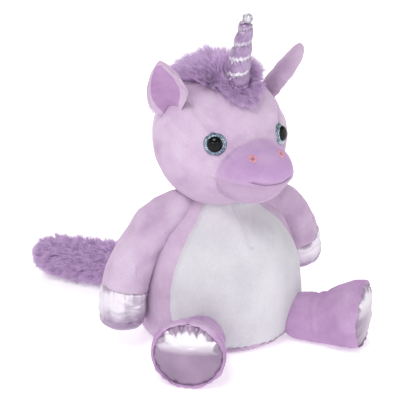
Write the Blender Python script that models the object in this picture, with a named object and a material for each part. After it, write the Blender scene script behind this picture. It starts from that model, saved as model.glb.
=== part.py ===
"""A plush unicorn sitting upright, built from its sewn panels, fillings and hard trim.

The toy faces -Y, its own right side is -X, and its seat rests on z = 0.
All lengths are in metres and all angles in degrees.
"""

import math

import bmesh
import bpy
import numpy as np
from mathutils import Matrix, Vector

# Fabric and clearances
PLUSH = 0.003
SATIN = 0.0015
GAP = 0.0004
SEAM_GAP = 0.0006
SOCKET_PLAY = 0.0012

# Body
BODY_HEIGHT = 0.1365
BODY_RADIUS = 0.083
WIDEST_LEVEL = 0.050
SEAT_RADIUS = 0.062
NECK_OPENING = 0.0365
NECK_BALL = 0.030
LOWER_ROUNDNESS = 2.4
UPPER_ROUNDNESS = 2.3

# Belly panel
BELLY_TURN = 64.5
BELLY_TURN_AT_NECK = 55.0
BELLY_BOTTOM = 0.008
BELLY_SQUARENESS = 2.3

# Head
HEAD_RADIUS = 0.066
HEAD_LIFT = 0.0005
HEAD_ABOVE_NECK = HEAD_RADIUS + HEAD_LIFT
HEAD_FORWARD = 0.003
MUZZLE_FORWARD = 0.062
MUZZLE_DROP = 0.0180
MUZZLE_HALF_WIDTH = 0.040
MUZZLE_HALF_LENGTH = 0.046
MUZZLE_HALF_HEIGHT = 0.030
MOUTH_BELOW_MUZZLE_CENTRE = 0.0085
MOUTH_HALF_ANGLE = 38.0
MOUTH_THREAD = 0.0008

# Eyes and nostrils
EYE_SIDE = 34.5
EYE_RISE = 10.5
EYE_RADIUS = 0.012
PUPIL_RADIUS = 0.0074
POST_RADIUS = 0.0024
POST_LENGTH = 0.010
WASHER_RADIUS = 0.008
NOSTRIL_SIDE = 0.0165
NOSTRIL_RISE = 0.0145
NOSTRIL_RADIUS = 0.004
NOSTRIL_THREAD = 0.0009

# Ears
EAR_BASE = (0.050, 0.000, 0.041)
EAR_TIP = (0.0775, 0.022, 0.089)
EAR_CHORD = (-0.33, 0.87, 0.39)
EAR_BASE_WIDTH = 0.040
EAR_CUP = 0.006
EAR_PANEL = 0.0028
EAR_CLEARANCE = 0.0034
EAR_LAYER_GAP = 0.001

# Horn
HORN_LEAN = 17.3
HORN_FROM_CROWN = 25.5
HORN_LENGTH = 0.062
HORN_BASE_RADIUS = 0.0125
HORN_END_RADIUS = 0.0055
HORN_CLEARANCE = 0.004
HORN_TURNS = 4
HORN_THREAD = 0.0007
HORN_GROOVE = 0.0024
HORN_THREAD_LIFT = 0.0013
HORN_BEAD = 0.0048
HORN_BEND = 10.0

# Mane
MANE_FRONT = 50.0
MANE_BACK = -100.0
MANE_HALF_WIDTH = 0.031
MANE_PILE = 0.030
MANE_LIFT = 0.0009

# Arms
SHOULDER_PLAY = 0.0004
SHOULDER_SHARE = 0.55
ARM_BESIDE_BODY = 0.003
SHOULDER_LEVEL = 0.124
ARM_RADIUS = 0.023
ARM_DROP = 0.105
HOOF_LENGTH = 0.041
LEFT_ARM_RAISE = 12.0
LEFT_ARM_BACK = 24.0

# Legs
LEG_SPLAY = 41.0
HIP_BEYOND_BODY = 0.009
HIP_DISTANCE = BODY_RADIUS + HIP_BEYOND_BODY
LEG_RADIUS = 0.024
LEG_REACH = 0.062
FOOT_HALF_WIDTH = 0.0355
FOOT_HALF_HEIGHT = 0.0335
FLOOR_PLAY = 0.0005
SOLE_BULGE = 0.004

# Tail
TAIL_LEVEL = 0.046
TAIL_BEYOND_BODY = 0.012
TAIL_DISTANCE = BODY_RADIUS + TAIL_BEYOND_BODY
TAIL_SWING = 34.0
TAIL_LENGTH = 0.168
TAIL_ROOT = 0.020
TAIL_RADIUS = 0.0245
TAIL_PILE = 0.009

# Facets round each piece
BODY_FACETS = 28
HEAD_FACETS = 24
LIMB_FACETS = 14
TRIM_FACETS = 12

NECK = np.array([0.0, 0.0, BODY_HEIGHT])
HEAD = NECK + np.array([0.0, -HEAD_FORWARD, HEAD_ABOVE_NECK])
MUZZLE = HEAD + np.array([0.0, -MUZZLE_FORWARD, -MUZZLE_DROP])
MOUTH_LEVEL = MUZZLE[2] - MOUTH_BELOW_MUZZLE_CENTRE
SIDES = (("right", -1.0), ("left", 1.0))


def clear_scene():
    """Take away the objects a new file starts with."""
    for item in list(bpy.data.objects):
        bpy.data.objects.remove(item, do_unlink=True)


def make_material(name, color, roughness):
    """A plain material with its own colour."""
    material = bpy.data.materials.new(name)
    material.use_nodes = True
    shader = material.node_tree.nodes["Principled BSDF"]
    shader.inputs["Base Color"].default_value = (*color, 1.0)
    shader.inputs["Roughness"].default_value = roughness
    material.diffuse_color = (*color, 1.0)
    return material


def make_body(name, points, faces, material=None):
    """A smooth-shaded object from points and faces, turned to face outwards."""
    mesh = bpy.data.meshes.new(name)
    mesh.from_pydata([tuple(map(float, p)) for p in points], [], faces)
    mesh.validate()
    skin = bmesh.new()
    skin.from_mesh(mesh)
    bmesh.ops.recalc_face_normals(skin, faces=skin.faces)
    skin.to_mesh(mesh)
    skin.free()
    mesh.shade_smooth()
    body = bpy.data.objects.new(name, mesh)
    bpy.context.collection.objects.link(body)
    if material:
        mesh.materials.append(material)
    return body


def ring_faces(count, facets, looped):
    """Quads between neighbouring rings, and between the last and the first when looped."""
    faces = []
    for ring in range(count if looped else count - 1):
        here = ring * facets
        there = ((ring + 1) % count) * facets
        for k in range(facets):
            after = (k + 1) % facets
            faces.append((here + k, here + after, there + after, there + k))
    return faces


def loft(name, rings, material=None, ends=(None, None), looped=False):
    """A closed skin through rings, each end drawn in to a point or filled with a flat face."""
    facets = len(rings[0])
    points = [p for ring in rings for p in ring]
    faces = ring_faces(len(rings), facets, looped)
    first = list(range(facets))
    last = list(range((len(rings) - 1) * facets, len(rings) * facets))
    if not looped:
        for edge, end, turned in ((first, ends[0], True), (last, ends[1], False)):
            order = edge[::-1] if turned else edge
            if end is None:
                faces.append(tuple(order))
                continue
            points.append(end)
            tip = len(points) - 1
            faces += [(order[k], order[(k + 1) % facets], tip) for k in range(facets)]
    return make_body(name, points, faces, material)


def circle(facets):
    """Unit circle directions, anticlockwise."""
    turn = np.arange(facets) * 2.0 * math.pi / facets
    return np.cos(turn), np.sin(turn)


def upright_rings(profile, facets, centre=(0.0, 0.0, 0.0)):
    """Level rings about a vertical line, from (radius, height) pairs."""
    across, along = circle(facets)
    middle = np.array(centre)
    return [
        middle + np.column_stack([r * across, r * along, np.full(facets, z)])
        for r, z in profile
    ]


def place(rings, origin, forward, side):
    """Turn rings made round +Z so that +Z runs along forward and +X along side."""
    axis = np.array(forward, float)
    axis = axis / np.linalg.norm(axis)
    across = np.array(side, float)
    across = across - axis * (across @ axis)
    across = across / np.linalg.norm(across)
    turn = np.column_stack([across, np.cross(axis, across), axis])
    return [np.array(origin) + np.atleast_2d(ring) @ turn.T for ring in rings]


def ball_profile(radius, steps):
    """(radius, height) pairs of a ball between its two poles."""
    angles = np.linspace(0.0, math.pi, steps + 1)[1:-1]
    return [(radius * math.sin(a), -radius * math.cos(a)) for a in angles]


def ellipsoid(name, centre, sizes, facets, material=None):
    """A closed ellipsoid with its poles up and down."""
    rings = upright_rings(ball_profile(1.0, facets // 2), facets)
    scale = np.array(sizes)
    middle = np.array(centre)
    rings = [middle + ring * scale for ring in rings]
    ends = (middle - scale * (0, 0, 1), middle + scale * (0, 0, 1))
    return loft(name, rings, material, ends)


def ellipsoid_shell(name, centre, sizes, wall, facets, material):
    """An ellipsoid with an even wall, made of an outer and an inner skin."""
    outer = ellipsoid(name, centre, sizes, facets, material)
    inner = ellipsoid(name + "_hollow", centre, np.array(sizes) - wall, facets)
    combine(outer, inner, "DIFFERENCE")
    return outer


def guide(body):
    """Mark a body as a construction guide."""
    body.hide_render = True
    body.display_type = "WIRE"
    return body


def combine(body, tool, operation):
    """Cut, join or keep with another body by an exact Boolean."""
    guide(tool)
    change = body.modifiers.new(operation.title(), "BOOLEAN")
    change.operation = operation
    change.solver = "EXACT"
    change.object = tool


def rod(name, start, direction, radius, low, high, facets=TRIM_FACETS, material=None):
    """A round rod along a direction, between two distances from its start."""
    across, along = circle(facets)
    rings = [
        np.column_stack([radius * across, radius * along, np.full(facets, h)])
        for h in (low, high)
    ]
    side = (0.0, 0.0, 1.0) if abs(direction[2]) < 0.9 else (1.0, 0.0, 0.0)
    return loft(name, place(rings, start, direction, side), material)


def body_radius(z):
    """Radius of the pear-shaped body at a height."""
    if z < WIDEST_LEVEL:
        drop = 1.0 - z / WIDEST_LEVEL
        swell = math.sqrt(max(0.0, 1.0 - drop ** LOWER_ROUNDNESS))
        return SEAT_RADIUS + (BODY_RADIUS - SEAT_RADIUS) * swell
    rise = (z - WIDEST_LEVEL) / (BODY_HEIGHT - WIDEST_LEVEL)
    return NECK_OPENING + (BODY_RADIUS - NECK_OPENING) * (1.0 - rise ** UPPER_ROUNDNESS)


def body_profile(inset, low):
    """(radius, height) pairs up the body from a lowest height, drawn in by an inset."""
    levels = [share * WIDEST_LEVEL for share in (0.0, 0.06, 0.16, 0.30, 0.5, 0.75, 1.0)]
    for share in (0.14, 0.28, 0.42, 0.55, 0.68, 0.79, 0.88, 0.95, 1.0):
        levels.append(WIDEST_LEVEL + share * (BODY_HEIGHT - WIDEST_LEVEL))
    radii = [body_radius(z) - inset for z in levels]
    lowest = (float(np.interp(low, levels, radii)), low)
    return [lowest] + [(r, z) for r, z in zip(radii, levels) if z > low + GAP]


def belly_turn(z):
    """Angle round the body, from the front, at which the belly panel ends at a height."""
    if z < WIDEST_LEVEL:
        drop = (WIDEST_LEVEL - z) / (WIDEST_LEVEL - BELLY_BOTTOM)
        share = max(0.0, 1.0 - drop ** BELLY_SQUARENESS)
        return BELLY_TURN * share ** (1.0 / BELLY_SQUARENESS)
    rise = (z - WIDEST_LEVEL) / (BODY_HEIGHT - WIDEST_LEVEL)
    return BELLY_TURN + (BELLY_TURN_AT_NECK - BELLY_TURN) * rise ** 2


def belly_outline(growth):
    """Egg-shaped outline of the belly panel as seen from the front."""
    sides = []
    for step in np.linspace(0.08, 1.0, 9):
        z = WIDEST_LEVEL - (WIDEST_LEVEL - BELLY_BOTTOM) * math.cos(step * math.pi / 2.0)
        sides.append((body_radius(z) * math.sin(math.radians(belly_turn(z))) + growth, z))
    for step in np.linspace(0.125, 1.0, 8):
        z = WIDEST_LEVEL + (BODY_HEIGHT - WIDEST_LEVEL) * step
        sides.append((body_radius(z) * math.sin(math.radians(belly_turn(z))) + growth, z))
    above = 1.2 * BODY_HEIGHT
    right = [(-x, z) for x, z in sides] + [(-sides[-1][0], above)]
    left = [(x, z) for x, z in sides] + [(sides[-1][0], above)]
    bottom = BELLY_BOTTOM - growth
    return [(0.0, bottom)] + left + right[::-1]


def belly_block(name, growth):
    """A block in front of the body whose outline is the belly panel's."""
    outline = belly_outline(growth)
    front = [(x, -2.0 * BODY_RADIUS, z) for x, z in outline]
    back = [(x, -0.15 * BODY_RADIUS, z) for x, z in outline]
    return loft(name, [np.array(front), np.array(back)])


def leg_direction(side):
    """Level direction in which a leg points."""
    splay = math.radians(LEG_SPLAY)
    return np.array([side * math.sin(splay), -math.cos(splay), 0.0])


def hip_point(side):
    """Pivot of a leg."""
    return leg_direction(side) * HIP_DISTANCE + (0.0, 0.0, LEG_RADIUS + FLOOR_PLAY)


def shoulder_point(side):
    """Pivot of an arm, beside the body at the shoulder's level."""
    side_below = body_radius(SHOULDER_LEVEL - ARM_RADIUS / 2.0)
    beside = side_below + ARM_RADIUS * SHOULDER_SHARE + SHOULDER_PLAY
    return np.array([side * beside, 0.0, SHOULDER_LEVEL])


def arm_reach():
    """How far out an arm hangs from its pivot, so that it clears the widest part of the body."""
    return BODY_RADIUS + ARM_BESIDE_BODY + ARM_RADIUS - shoulder_point(1)[0]


def tail_direction():
    """Level direction in which the tail leaves the body."""
    swing = math.radians(TAIL_SWING)
    return np.array([-math.sin(swing), math.cos(swing), 0.0])


def tail_point():
    """Pivot of the tail."""
    return np.array([0.0, TAIL_DISTANCE, TAIL_LEVEL])


def cut_sockets(body, tag, play):
    """Hollow the body where the round roots of the arms, legs and tail sit."""
    roots = [("tail", tail_point(), TAIL_ROOT)]
    for word, side in SIDES:
        roots.append(("arm_" + word, shoulder_point(side), ARM_RADIUS))
        roots.append(("leg_" + word, hip_point(side), LEG_RADIUS))
    for word, centre, radius in roots:
        ball = ellipsoid(f"guide_{tag}_{word}", centre, [radius + play] * 3, 16)
        combine(body, ball, "DIFFERENCE")


def build_torso(plush, belly_plush, filling):
    """Body cover, belly panel, seat panel and filling."""
    facets = BODY_FACETS
    outer = body_profile(0.0, 0.0)
    inner = body_profile(PLUSH, 0.0)
    outline = upright_rings(outer + inner[::-1], facets)
    cover = loft("torso_cover", outline, plush, looped=True)
    combine(cover, belly_block("guide_belly_cut", SEAM_GAP), "DIFFERENCE")
    cut_sockets(cover, "cover", SOCKET_PLAY)
    belly = loft("belly_panel", outline, belly_plush, looped=True)
    combine(belly, belly_block("guide_belly_keep", 0.0), "INTERSECT")
    cut_sockets(belly, "belly", SOCKET_PLAY)
    seat_radius = SEAT_RADIUS - PLUSH - GAP
    loft("seat_panel", upright_rings([(seat_radius, 0.0), (seat_radius, PLUSH)], facets), plush)
    core = body_profile(PLUSH + GAP, PLUSH + GAP)
    stuffing = loft("torso_stuffing", upright_rings(core, facets), filling)
    cut_sockets(stuffing, "filling", SOCKET_PLAY + GAP)
    neck_room = ellipsoid("guide_neck_room", NECK, [NECK_BALL + SOCKET_PLAY] * 3, 20)
    combine(stuffing, neck_room, "DIFFERENCE")
    ellipsoid("neck_stuffing", NECK, [NECK_BALL] * 3, 16, filling)


def head_ball(name, radius, material=None):
    """A ball about the head's centre."""
    return ellipsoid(name, HEAD, [radius] * 3, HEAD_FACETS, material)


def muzzle_sizes(inset):
    """Half sizes of the muzzle drawn in by an inset."""
    return [MUZZLE_HALF_WIDTH - inset, MUZZLE_HALF_LENGTH - inset, MUZZLE_HALF_HEIGHT - inset]


def eye_direction(side):
    """Direction of an eye from the head's centre."""
    turn = math.radians(EYE_SIDE)
    rise = math.radians(EYE_RISE)
    level = math.cos(rise)
    return np.array([side * math.sin(turn) * level, -math.cos(turn) * level, math.sin(rise)])


def build_head(plush, muzzle_plush, chin_plush, filling):
    """Head cover, muzzle cover, chin panel and the filling they share."""
    neck_room = NECK_BALL + SOCKET_PLAY
    cover = ellipsoid_shell("head_cover", HEAD, [HEAD_RADIUS] * 3, PLUSH, HEAD_FACETS, plush)
    opening = ellipsoid("guide_muzzle_opening", MUZZLE, muzzle_sizes(PLUSH), HEAD_FACETS)
    combine(cover, opening, "DIFFERENCE")
    neck = ellipsoid("guide_head_neck", NECK, [neck_room] * 3, 20)
    combine(cover, neck, "DIFFERENCE")
    build_muzzle("muzzle_cover", muzzle_plush, 1.0)
    build_muzzle("chin_panel", chin_plush, -1.0)
    stuffing = head_ball("head_stuffing", HEAD_RADIUS - PLUSH - GAP, filling)
    snout = ellipsoid("guide_snout", MUZZLE, muzzle_sizes(PLUSH + GAP), HEAD_FACETS)
    combine(stuffing, snout, "UNION")
    neck_inside = ellipsoid("guide_filling_neck", NECK, [neck_room + GAP] * 3, 20)
    combine(stuffing, neck_inside, "DIFFERENCE")
    for word, side in SIDES:
        surface = HEAD + eye_direction(side) * HEAD_RADIUS
        outward = eye_direction(side)
        hole = rod(f"guide_post_hole_{word}", surface, outward, POST_RADIUS + GAP, -0.01, 0.01)
        combine(cover, hole, "DIFFERENCE")
        depth = -POST_LENGTH - PLUSH / 2.0
        pocket = rod(f"guide_pocket_{word}", surface, outward, WASHER_RADIUS + PLUSH / 2.0, depth, 0.01)
        combine(stuffing, pocket, "DIFFERENCE")


def build_muzzle(name, material, upward):
    """The part of the muzzle's cover above or below the mouth."""
    shell = ellipsoid_shell(name, MUZZLE, muzzle_sizes(0.0), PLUSH, HEAD_FACETS, material)
    combine(shell, head_ball("guide_head_" + name, HEAD_RADIUS + GAP), "DIFFERENCE")
    reach = 3.0 * MUZZLE_HALF_LENGTH
    low = MOUTH_LEVEL + upward * SEAM_GAP / 2.0
    high = MOUTH_LEVEL + upward * reach
    bottom, top = sorted((low, high))
    corners = [(-reach, -reach), (reach, -reach), (reach, reach), (-reach, reach)]
    rings = []
    for z in (bottom, top):
        rings.append(np.array([(x, MUZZLE[1] + y, z) for x, y in corners]))
    combine(shell, loft("guide_half_" + name, rings), "INTERSECT")


def on_muzzle(x, z, lift):
    """Point on the front of the muzzle, raised along the surface's normal."""
    side = (x - MUZZLE[0]) / MUZZLE_HALF_WIDTH
    rise = (z - MUZZLE[2]) / MUZZLE_HALF_HEIGHT
    front = -math.sqrt(max(0.0, 1.0 - side * side - rise * rise))
    point = MUZZLE + np.array([x, front * MUZZLE_HALF_LENGTH, z - MUZZLE[2]])
    normal = np.array(
        [side / MUZZLE_HALF_WIDTH, front / MUZZLE_HALF_LENGTH, rise / MUZZLE_HALF_HEIGHT]
    )
    return point + normal / np.linalg.norm(normal) * lift


def tube(name, path, radius, facets, material, looped=False):
    """A thread of even thickness along a path."""
    line = np.array(path)
    count = len(line)
    rings = []
    across, along = circle(facets)
    for k in range(count):
        after = line[(k + 1) % count] if looped or k < count - 1 else line[k]
        before = line[k - 1] if looped or k > 0 else line[k]
        flat = np.column_stack([radius * across, radius * along, np.zeros(facets)])
        rings.append(place([flat], line[k], after - before, (0.15, 0.2, 1.0))[0])
    return loft(name, rings, material, looped=looped)


def build_face_threads(thread, nostril_thread):
    """The stitched mouth line and the two ringed nostrils."""
    lift = MOUTH_THREAD + GAP
    path = []
    for turn in np.linspace(-MOUTH_HALF_ANGLE, MOUTH_HALF_ANGLE, 15):
        x = MUZZLE_HALF_WIDTH * math.sin(math.radians(turn))
        path.append(on_muzzle(x, MOUTH_LEVEL, lift))
    tube("mouth_stitch", path, MOUTH_THREAD, 6, thread)
    for word, side in SIDES:
        ring = []
        for turn in np.arange(14) * 2.0 * math.pi / 14:
            x = side * NOSTRIL_SIDE + NOSTRIL_RADIUS * math.cos(turn)
            z = MUZZLE[2] + NOSTRIL_RISE + NOSTRIL_RADIUS * math.sin(turn)
            ring.append(on_muzzle(x, z, NOSTRIL_THREAD + GAP))
        tube("nostril_" + word, ring, NOSTRIL_THREAD, 6, nostril_thread, looped=True)


def turned_piece(name, profile, start, direction, material, tipped=False):
    """A piece of revolution about a line, open-centred unless its profile ends on the line."""
    across, along = circle(TRIM_FACETS)
    rings = []
    for r, h in profile:
        rings.append(np.column_stack([r * across, r * along, np.full(TRIM_FACETS, h)]))
    side = (0.0, 0.0, 1.0)
    rings = place(rings, start, direction, side)
    if not tipped:
        return loft(name, rings, material, looped=True)
    tips = (None, np.array(start) + np.array(direction) * tipped)
    return loft(name, rings, material, ends=tips)


def build_eyes(iris, pupil, washer):
    """Each eye: a glittered ring, a domed pupil on its post and the washer inside."""
    plate = 0.0013
    recess = GAP + plate
    seat = recess + GAP
    for word, side in SIDES:
        outward = eye_direction(side)
        start = HEAD + outward * HEAD_RADIUS
        bore = POST_RADIUS + GAP
        well = PUPIL_RADIUS + GAP
        ring = [
            (bore, GAP),
            (EYE_RADIUS, GAP),
            (EYE_RADIUS * 1.01, GAP + 0.6 * plate),
            (EYE_RADIUS * 0.92, GAP + 1.7 * plate),
            (EYE_RADIUS * 0.78, GAP + 2.4 * plate),
            (well, GAP + 2.6 * plate),
            (well, recess),
            (bore, recess),
        ]
        turned_piece(f"eye_iris_{word}", ring, start, outward, iris)
        dome = [
            (POST_RADIUS, -POST_LENGTH),
            (POST_RADIUS, seat),
            (PUPIL_RADIUS, seat),
            (PUPIL_RADIUS, seat + plate),
            (PUPIL_RADIUS * 0.86, seat + 2.4 * plate),
            (PUPIL_RADIUS * 0.60, seat + 3.3 * plate),
            (PUPIL_RADIUS * 0.30, seat + 3.7 * plate),
        ]
        turned_piece(f"eye_pupil_{word}", dome, start, outward, pupil, tipped=seat + 3.8 * plate)
        top = -PLUSH - 2.0 * plate
        ring = [(bore, top - plate), (WASHER_RADIUS, top - plate), (WASHER_RADIUS, top), (bore, top)]
        turned_piece(f"eye_washer_{word}", ring, start, outward, washer)


def mirrored(values, side):
    """A (sideways, forward, up) triple in the shared frame for one side of the toy."""
    return np.array([side * values[0], -values[1], values[2]])


def ear_surface(side, length_share, width_share, depth):
    """Point of the leaf-shaped ear, at a depth in front of its back panel."""
    base = mirrored(EAR_BASE, side)
    chord = mirrored(EAR_CHORD, side)
    chord = chord / np.linalg.norm(chord)
    rise = mirrored(EAR_TIP, side) - base
    outward = np.cross(chord, rise) * side
    outward = -outward / np.linalg.norm(outward)
    narrowing = math.sqrt(max(0.0, 1.0 - length_share ** 2.6))
    swell = 1.0 + 0.35 * math.sin(math.pi * min(1.0, length_share * 1.15))
    half = EAR_BASE_WIDTH / 2.0 * narrowing * swell
    foot = base + chord * width_share * half
    foot = foot / np.linalg.norm(foot) * (HEAD_RADIUS + EAR_CLEARANCE)
    cup = EAR_CUP * (width_share ** 2) * (0.5 + 0.5 * narrowing)
    return HEAD + foot + rise * length_share + outward * (cup + depth)


def build_ears(plush, lining):
    """Each ear: a cupped back panel and the lining laid inside it."""
    rows = np.linspace(0.0, 0.97, 8)
    for word, side in SIDES:
        layers = (
            (f"ear_back_{word}", plush, 0.0, EAR_PANEL, 1.0),
            (f"ear_lining_{word}", lining, EAR_PANEL + EAR_LAYER_GAP, 2.0 * EAR_PANEL, 0.86),
        )
        for name, material, near, far, width in layers:
            rings = []
            for row in rows:
                across = np.linspace(-width, width, 7)
                front = [ear_surface(side, row, v, far) for v in across]
                back = [ear_surface(side, row, v, near) for v in across[::-1]]
                rings.append(np.array(front + back))
            loft(name, rings, material)


def horn_frame():
    """Pivot of the horn and the direction it points in."""
    place_angle = math.radians(HORN_FROM_CROWN)
    lean = math.radians(HORN_LEAN)
    distance = HEAD_RADIUS + HORN_CLEARANCE
    pivot = HEAD + np.array([0.0, -math.sin(place_angle), math.cos(place_angle)]) * distance
    return pivot, np.array([0.0, -math.sin(lean), math.cos(lean)])


def horn_radius(h):
    """Radius of the plain cone at a height."""
    share = h / HORN_LENGTH
    return HORN_BASE_RADIUS + (HORN_END_RADIUS - HORN_BASE_RADIUS) * share


def horn_groove(h, turn):
    """How far the satin is drawn in by the winding at a height and an angle round the horn."""
    pitch = HORN_LENGTH / HORN_TURNS
    phase = (h / pitch - turn / (2.0 * math.pi) + 0.5) % 1.0 - 0.5
    return HORN_GROOVE * math.exp(-((phase / 0.17) ** 2))


def horn_rings(inset, low, high, rows, grooved):
    """Rings up the horn, drawn in along the winding."""
    facets = TRIM_FACETS
    rings = []
    for h in np.linspace(low, high, rows):
        ring = []
        for k in range(facets):
            turn = 2.0 * math.pi * k / facets
            draw = horn_groove(h, turn) if grooved else HORN_GROOVE
            r = horn_radius(h) - inset - draw
            ring.append((r * math.cos(turn), r * math.sin(turn), h))
        rings.append(np.array(ring))
    return rings


def build_horn(satin, filling, thread, bead):
    """The satin cone, its filling, the thread wound round it and the bead at its end."""
    pivot, axis = horn_frame()
    side = (1.0, 0.0, 0.0)
    outer = horn_rings(0.0, 0.0, HORN_LENGTH, 27, True)
    inner = horn_rings(SATIN, 0.0, HORN_LENGTH - SATIN, 9, False)
    skin = place(outer[::-1] + inner, pivot, axis, side)
    top = pivot + axis * (HORN_LENGTH + SATIN / 2.0)
    under = pivot + axis * (HORN_LENGTH - SATIN / 2.0)
    loft("horn_cover", skin, satin, ends=(top, under))
    core = place(horn_rings(SATIN + GAP, GAP, HORN_LENGTH - SATIN - GAP, 5, False), pivot, axis, side)
    loft("horn_stuffing", core, filling)
    path = []
    steps = TRIM_FACETS * (HORN_TURNS - 1)
    margin = 0.5 * HORN_LENGTH / HORN_TURNS
    for k in range(steps + 1):
        turn = 2.0 * math.pi * (k / TRIM_FACETS + 0.5)
        h = margin + k / TRIM_FACETS * HORN_LENGTH / HORN_TURNS
        r = horn_radius(h) - HORN_GROOVE + HORN_THREAD + HORN_THREAD_LIFT
        path.append((r * math.cos(turn), r * math.sin(turn), h))
    path = place([np.array(path)], pivot, axis, side)[0]
    tube("horn_thread", path, HORN_THREAD, 6, thread)
    centre = pivot + axis * (HORN_LENGTH + SATIN + GAP + HORN_BEAD)
    ellipsoid("horn_tip", centre, [HORN_BEAD] * 3, 12, bead)


def mane_point(crest, across, lift):
    """Point over the head at an angle from the crown, a share across the mane and a lift."""
    spread = math.sin(math.pi * np.clip((crest - MANE_BACK) / (MANE_FRONT - MANE_BACK), 0.0, 1.0))
    half = MANE_HALF_WIDTH / HEAD_RADIUS * (0.42 + 0.58 * spread ** 0.6)
    sideways = across * half
    forward = math.radians(crest)
    radius = HEAD_RADIUS + lift
    level = math.cos(sideways)
    direction = np.array(
        [math.sin(sideways), -level * math.sin(forward), level * math.cos(forward)]
    )
    return HEAD + direction * radius


def build_mane(fur):
    """The long-pile crest from the forelock over the crown to the nape."""
    rings = []
    for crest in np.linspace(MANE_FRONT, MANE_BACK, 16):
        share = (crest - MANE_BACK) / (MANE_FRONT - MANE_BACK)
        body = min(1.0, 3.2 * (1.0 - share) + 0.22, 2.0 * share + 0.35)
        top = []
        for across in np.linspace(-1.0, 1.0, 9):
            pile = MANE_PILE * body * (1.0 - across ** 2) ** 0.7
            top.append(mane_point(crest, across, MANE_LIFT + PLUSH + pile))
        under = [mane_point(crest, across, MANE_LIFT) for across in np.linspace(1.0, -1.0, 7)]
        rings.append(np.array(top + under))
    mane = loft("mane_crest", rings, fur)
    pivot, axis = horn_frame()
    room = HORN_BASE_RADIUS + 1.2 * MANE_PILE * math.sin(math.radians(HORN_BEND)) - GAP
    hole = rod("guide_horn_hole", pivot, axis, room, -0.02, 0.06)
    combine(mane, hole, "DIFFERENCE")


def arm_path(steps):
    """Centre line of an arm from its pivot, as (outward, up) pairs."""
    corners = np.array([(0.0, 0.0), (0.74, -0.11), (1.0, -0.32), (1.0, -1.0)])
    corners = corners * (arm_reach(), ARM_DROP - ARM_RADIUS * 0.8)
    line = []
    for t in np.linspace(0.0, 1.0, steps):
        weights = np.array([(1 - t) ** 3, 3 * t * (1 - t) ** 2, 3 * t * t * (1 - t), t ** 3])
        line.append(weights @ corners)
    return np.array(line)


def arm_rings(inset, shares, side):
    """Rings along an arm at shares of its centre line."""
    line = arm_path(41)
    across, along = circle(LIMB_FACETS)
    rings = []
    for share in shares:
        k = share * 40
        before = line[max(0, int(k) - 1)]
        after = line[min(40, int(k) + 1)]
        here = line[int(k)] + (line[min(40, int(k) + 1)] - line[int(k)]) * (k - int(k))
        tangent = (after - before) / np.linalg.norm(after - before)
        normal = np.array([-tangent[1], tangent[0]])
        radius = ARM_RADIUS - inset
        flat = here[None, :] + np.outer(across * radius, normal)
        rings.append(np.column_stack([side * flat[:, 0], radius * along, flat[:, 1]]))
    return rings


def arm_root(inset, side):
    """Rings round the ball at the top of an arm, from its inner pole outwards."""
    line = arm_path(41)
    tangent = (line[1] - line[0]) / np.linalg.norm(line[1] - line[0])
    normal = np.array([-tangent[1], tangent[0]])
    across, along = circle(LIMB_FACETS)
    radius = ARM_RADIUS - inset
    rings = []
    for turn in (65.0, 40.0, 18.0):
        back = -radius * math.sin(math.radians(turn)) * tangent
        small = radius * math.cos(math.radians(turn))
        flat = back[None, :] + np.outer(across * small, normal)
        rings.append(np.column_stack([side * flat[:, 0], small * along, flat[:, 1]]))
    pole = -radius * tangent
    return rings, np.array([side * pole[0], 0.0, pole[1]])


def hoof_rings(inset, side):
    """Rings of the rounded end of an arm, and its lowest point."""
    end = arm_path(41)[-1]
    across, along = circle(LIMB_FACETS)
    rings = []
    for drop, share in ((0.30, 0.95), (0.56, 0.80), (0.72, 0.55)):
        r = (ARM_RADIUS - inset) * share
        z = end[1] - (ARM_RADIUS - inset) * drop
        rings.append(np.column_stack([side * (end[0] + r * across), r * along, np.full(LIMB_FACETS, z)]))
    return rings, np.array([side * end[0], 0.0, end[1] - (ARM_RADIUS - inset) * 0.8])


def build_arm(word, side, plush, satin, filling):
    """One arm: plush tube, satin hoof and filling, made round its pivot."""
    straight = ARM_DROP - ARM_RADIUS * 0.8
    cuff = 1.0 - (HOOF_LENGTH - ARM_RADIUS * 0.8) / straight * 0.82
    tube_shares = list(np.linspace(0.0, cuff, 7))
    hoof_shares = [cuff + SEAM_GAP / ARM_DROP * 1.6, (cuff + 1.0) / 2.0, 1.0]
    root_out, pole_out = arm_root(0.0, side)
    root_in, pole_in = arm_root(PLUSH, side)
    outside = root_out + arm_rings(0.0, tube_shares, side)
    inside = root_in + arm_rings(PLUSH, tube_shares, side)
    cover = loft(f"arm_cover_{word}", outside + inside[::-1], plush, ends=(pole_out, pole_in))
    end_out, tip_out = hoof_rings(0.0, side)
    end_in, tip_in = hoof_rings(PLUSH, side)
    outside = arm_rings(0.0, hoof_shares, side) + end_out
    inside = arm_rings(PLUSH, hoof_shares, side) + end_in
    hoof = loft(f"hoof_{word}", outside[::-1] + inside, satin, ends=(tip_out, tip_in))
    root, pole = arm_root(PLUSH + GAP, side)
    end, tip = hoof_rings(PLUSH + GAP, side)
    rings = root + arm_rings(PLUSH + GAP, tube_shares + hoof_shares[1:], side) + end
    core = loft(f"arm_stuffing_{word}", rings, filling, ends=(pole, tip))
    turn = Matrix.Identity(4)
    if side > 0:
        raised = Matrix.Rotation(math.radians(-LEFT_ARM_RAISE), 4, "Y")
        turn = Matrix.Rotation(math.radians(LEFT_ARM_BACK), 4, "X") @ raised
    for body in (cover, hoof, core):
        body.matrix_world = Matrix.Translation(Vector(shoulder_point(side))) @ turn


def leg_section(inset, along, half_width, half_height, middle):
    """One ring of a leg: distance from the pivot, half sizes and height of its centre."""
    across, up = circle(LIMB_FACETS)
    return np.column_stack(
        [(half_width - inset) * across, (half_height - inset) * up + middle, np.full(LIMB_FACETS, along)]
    )


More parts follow.
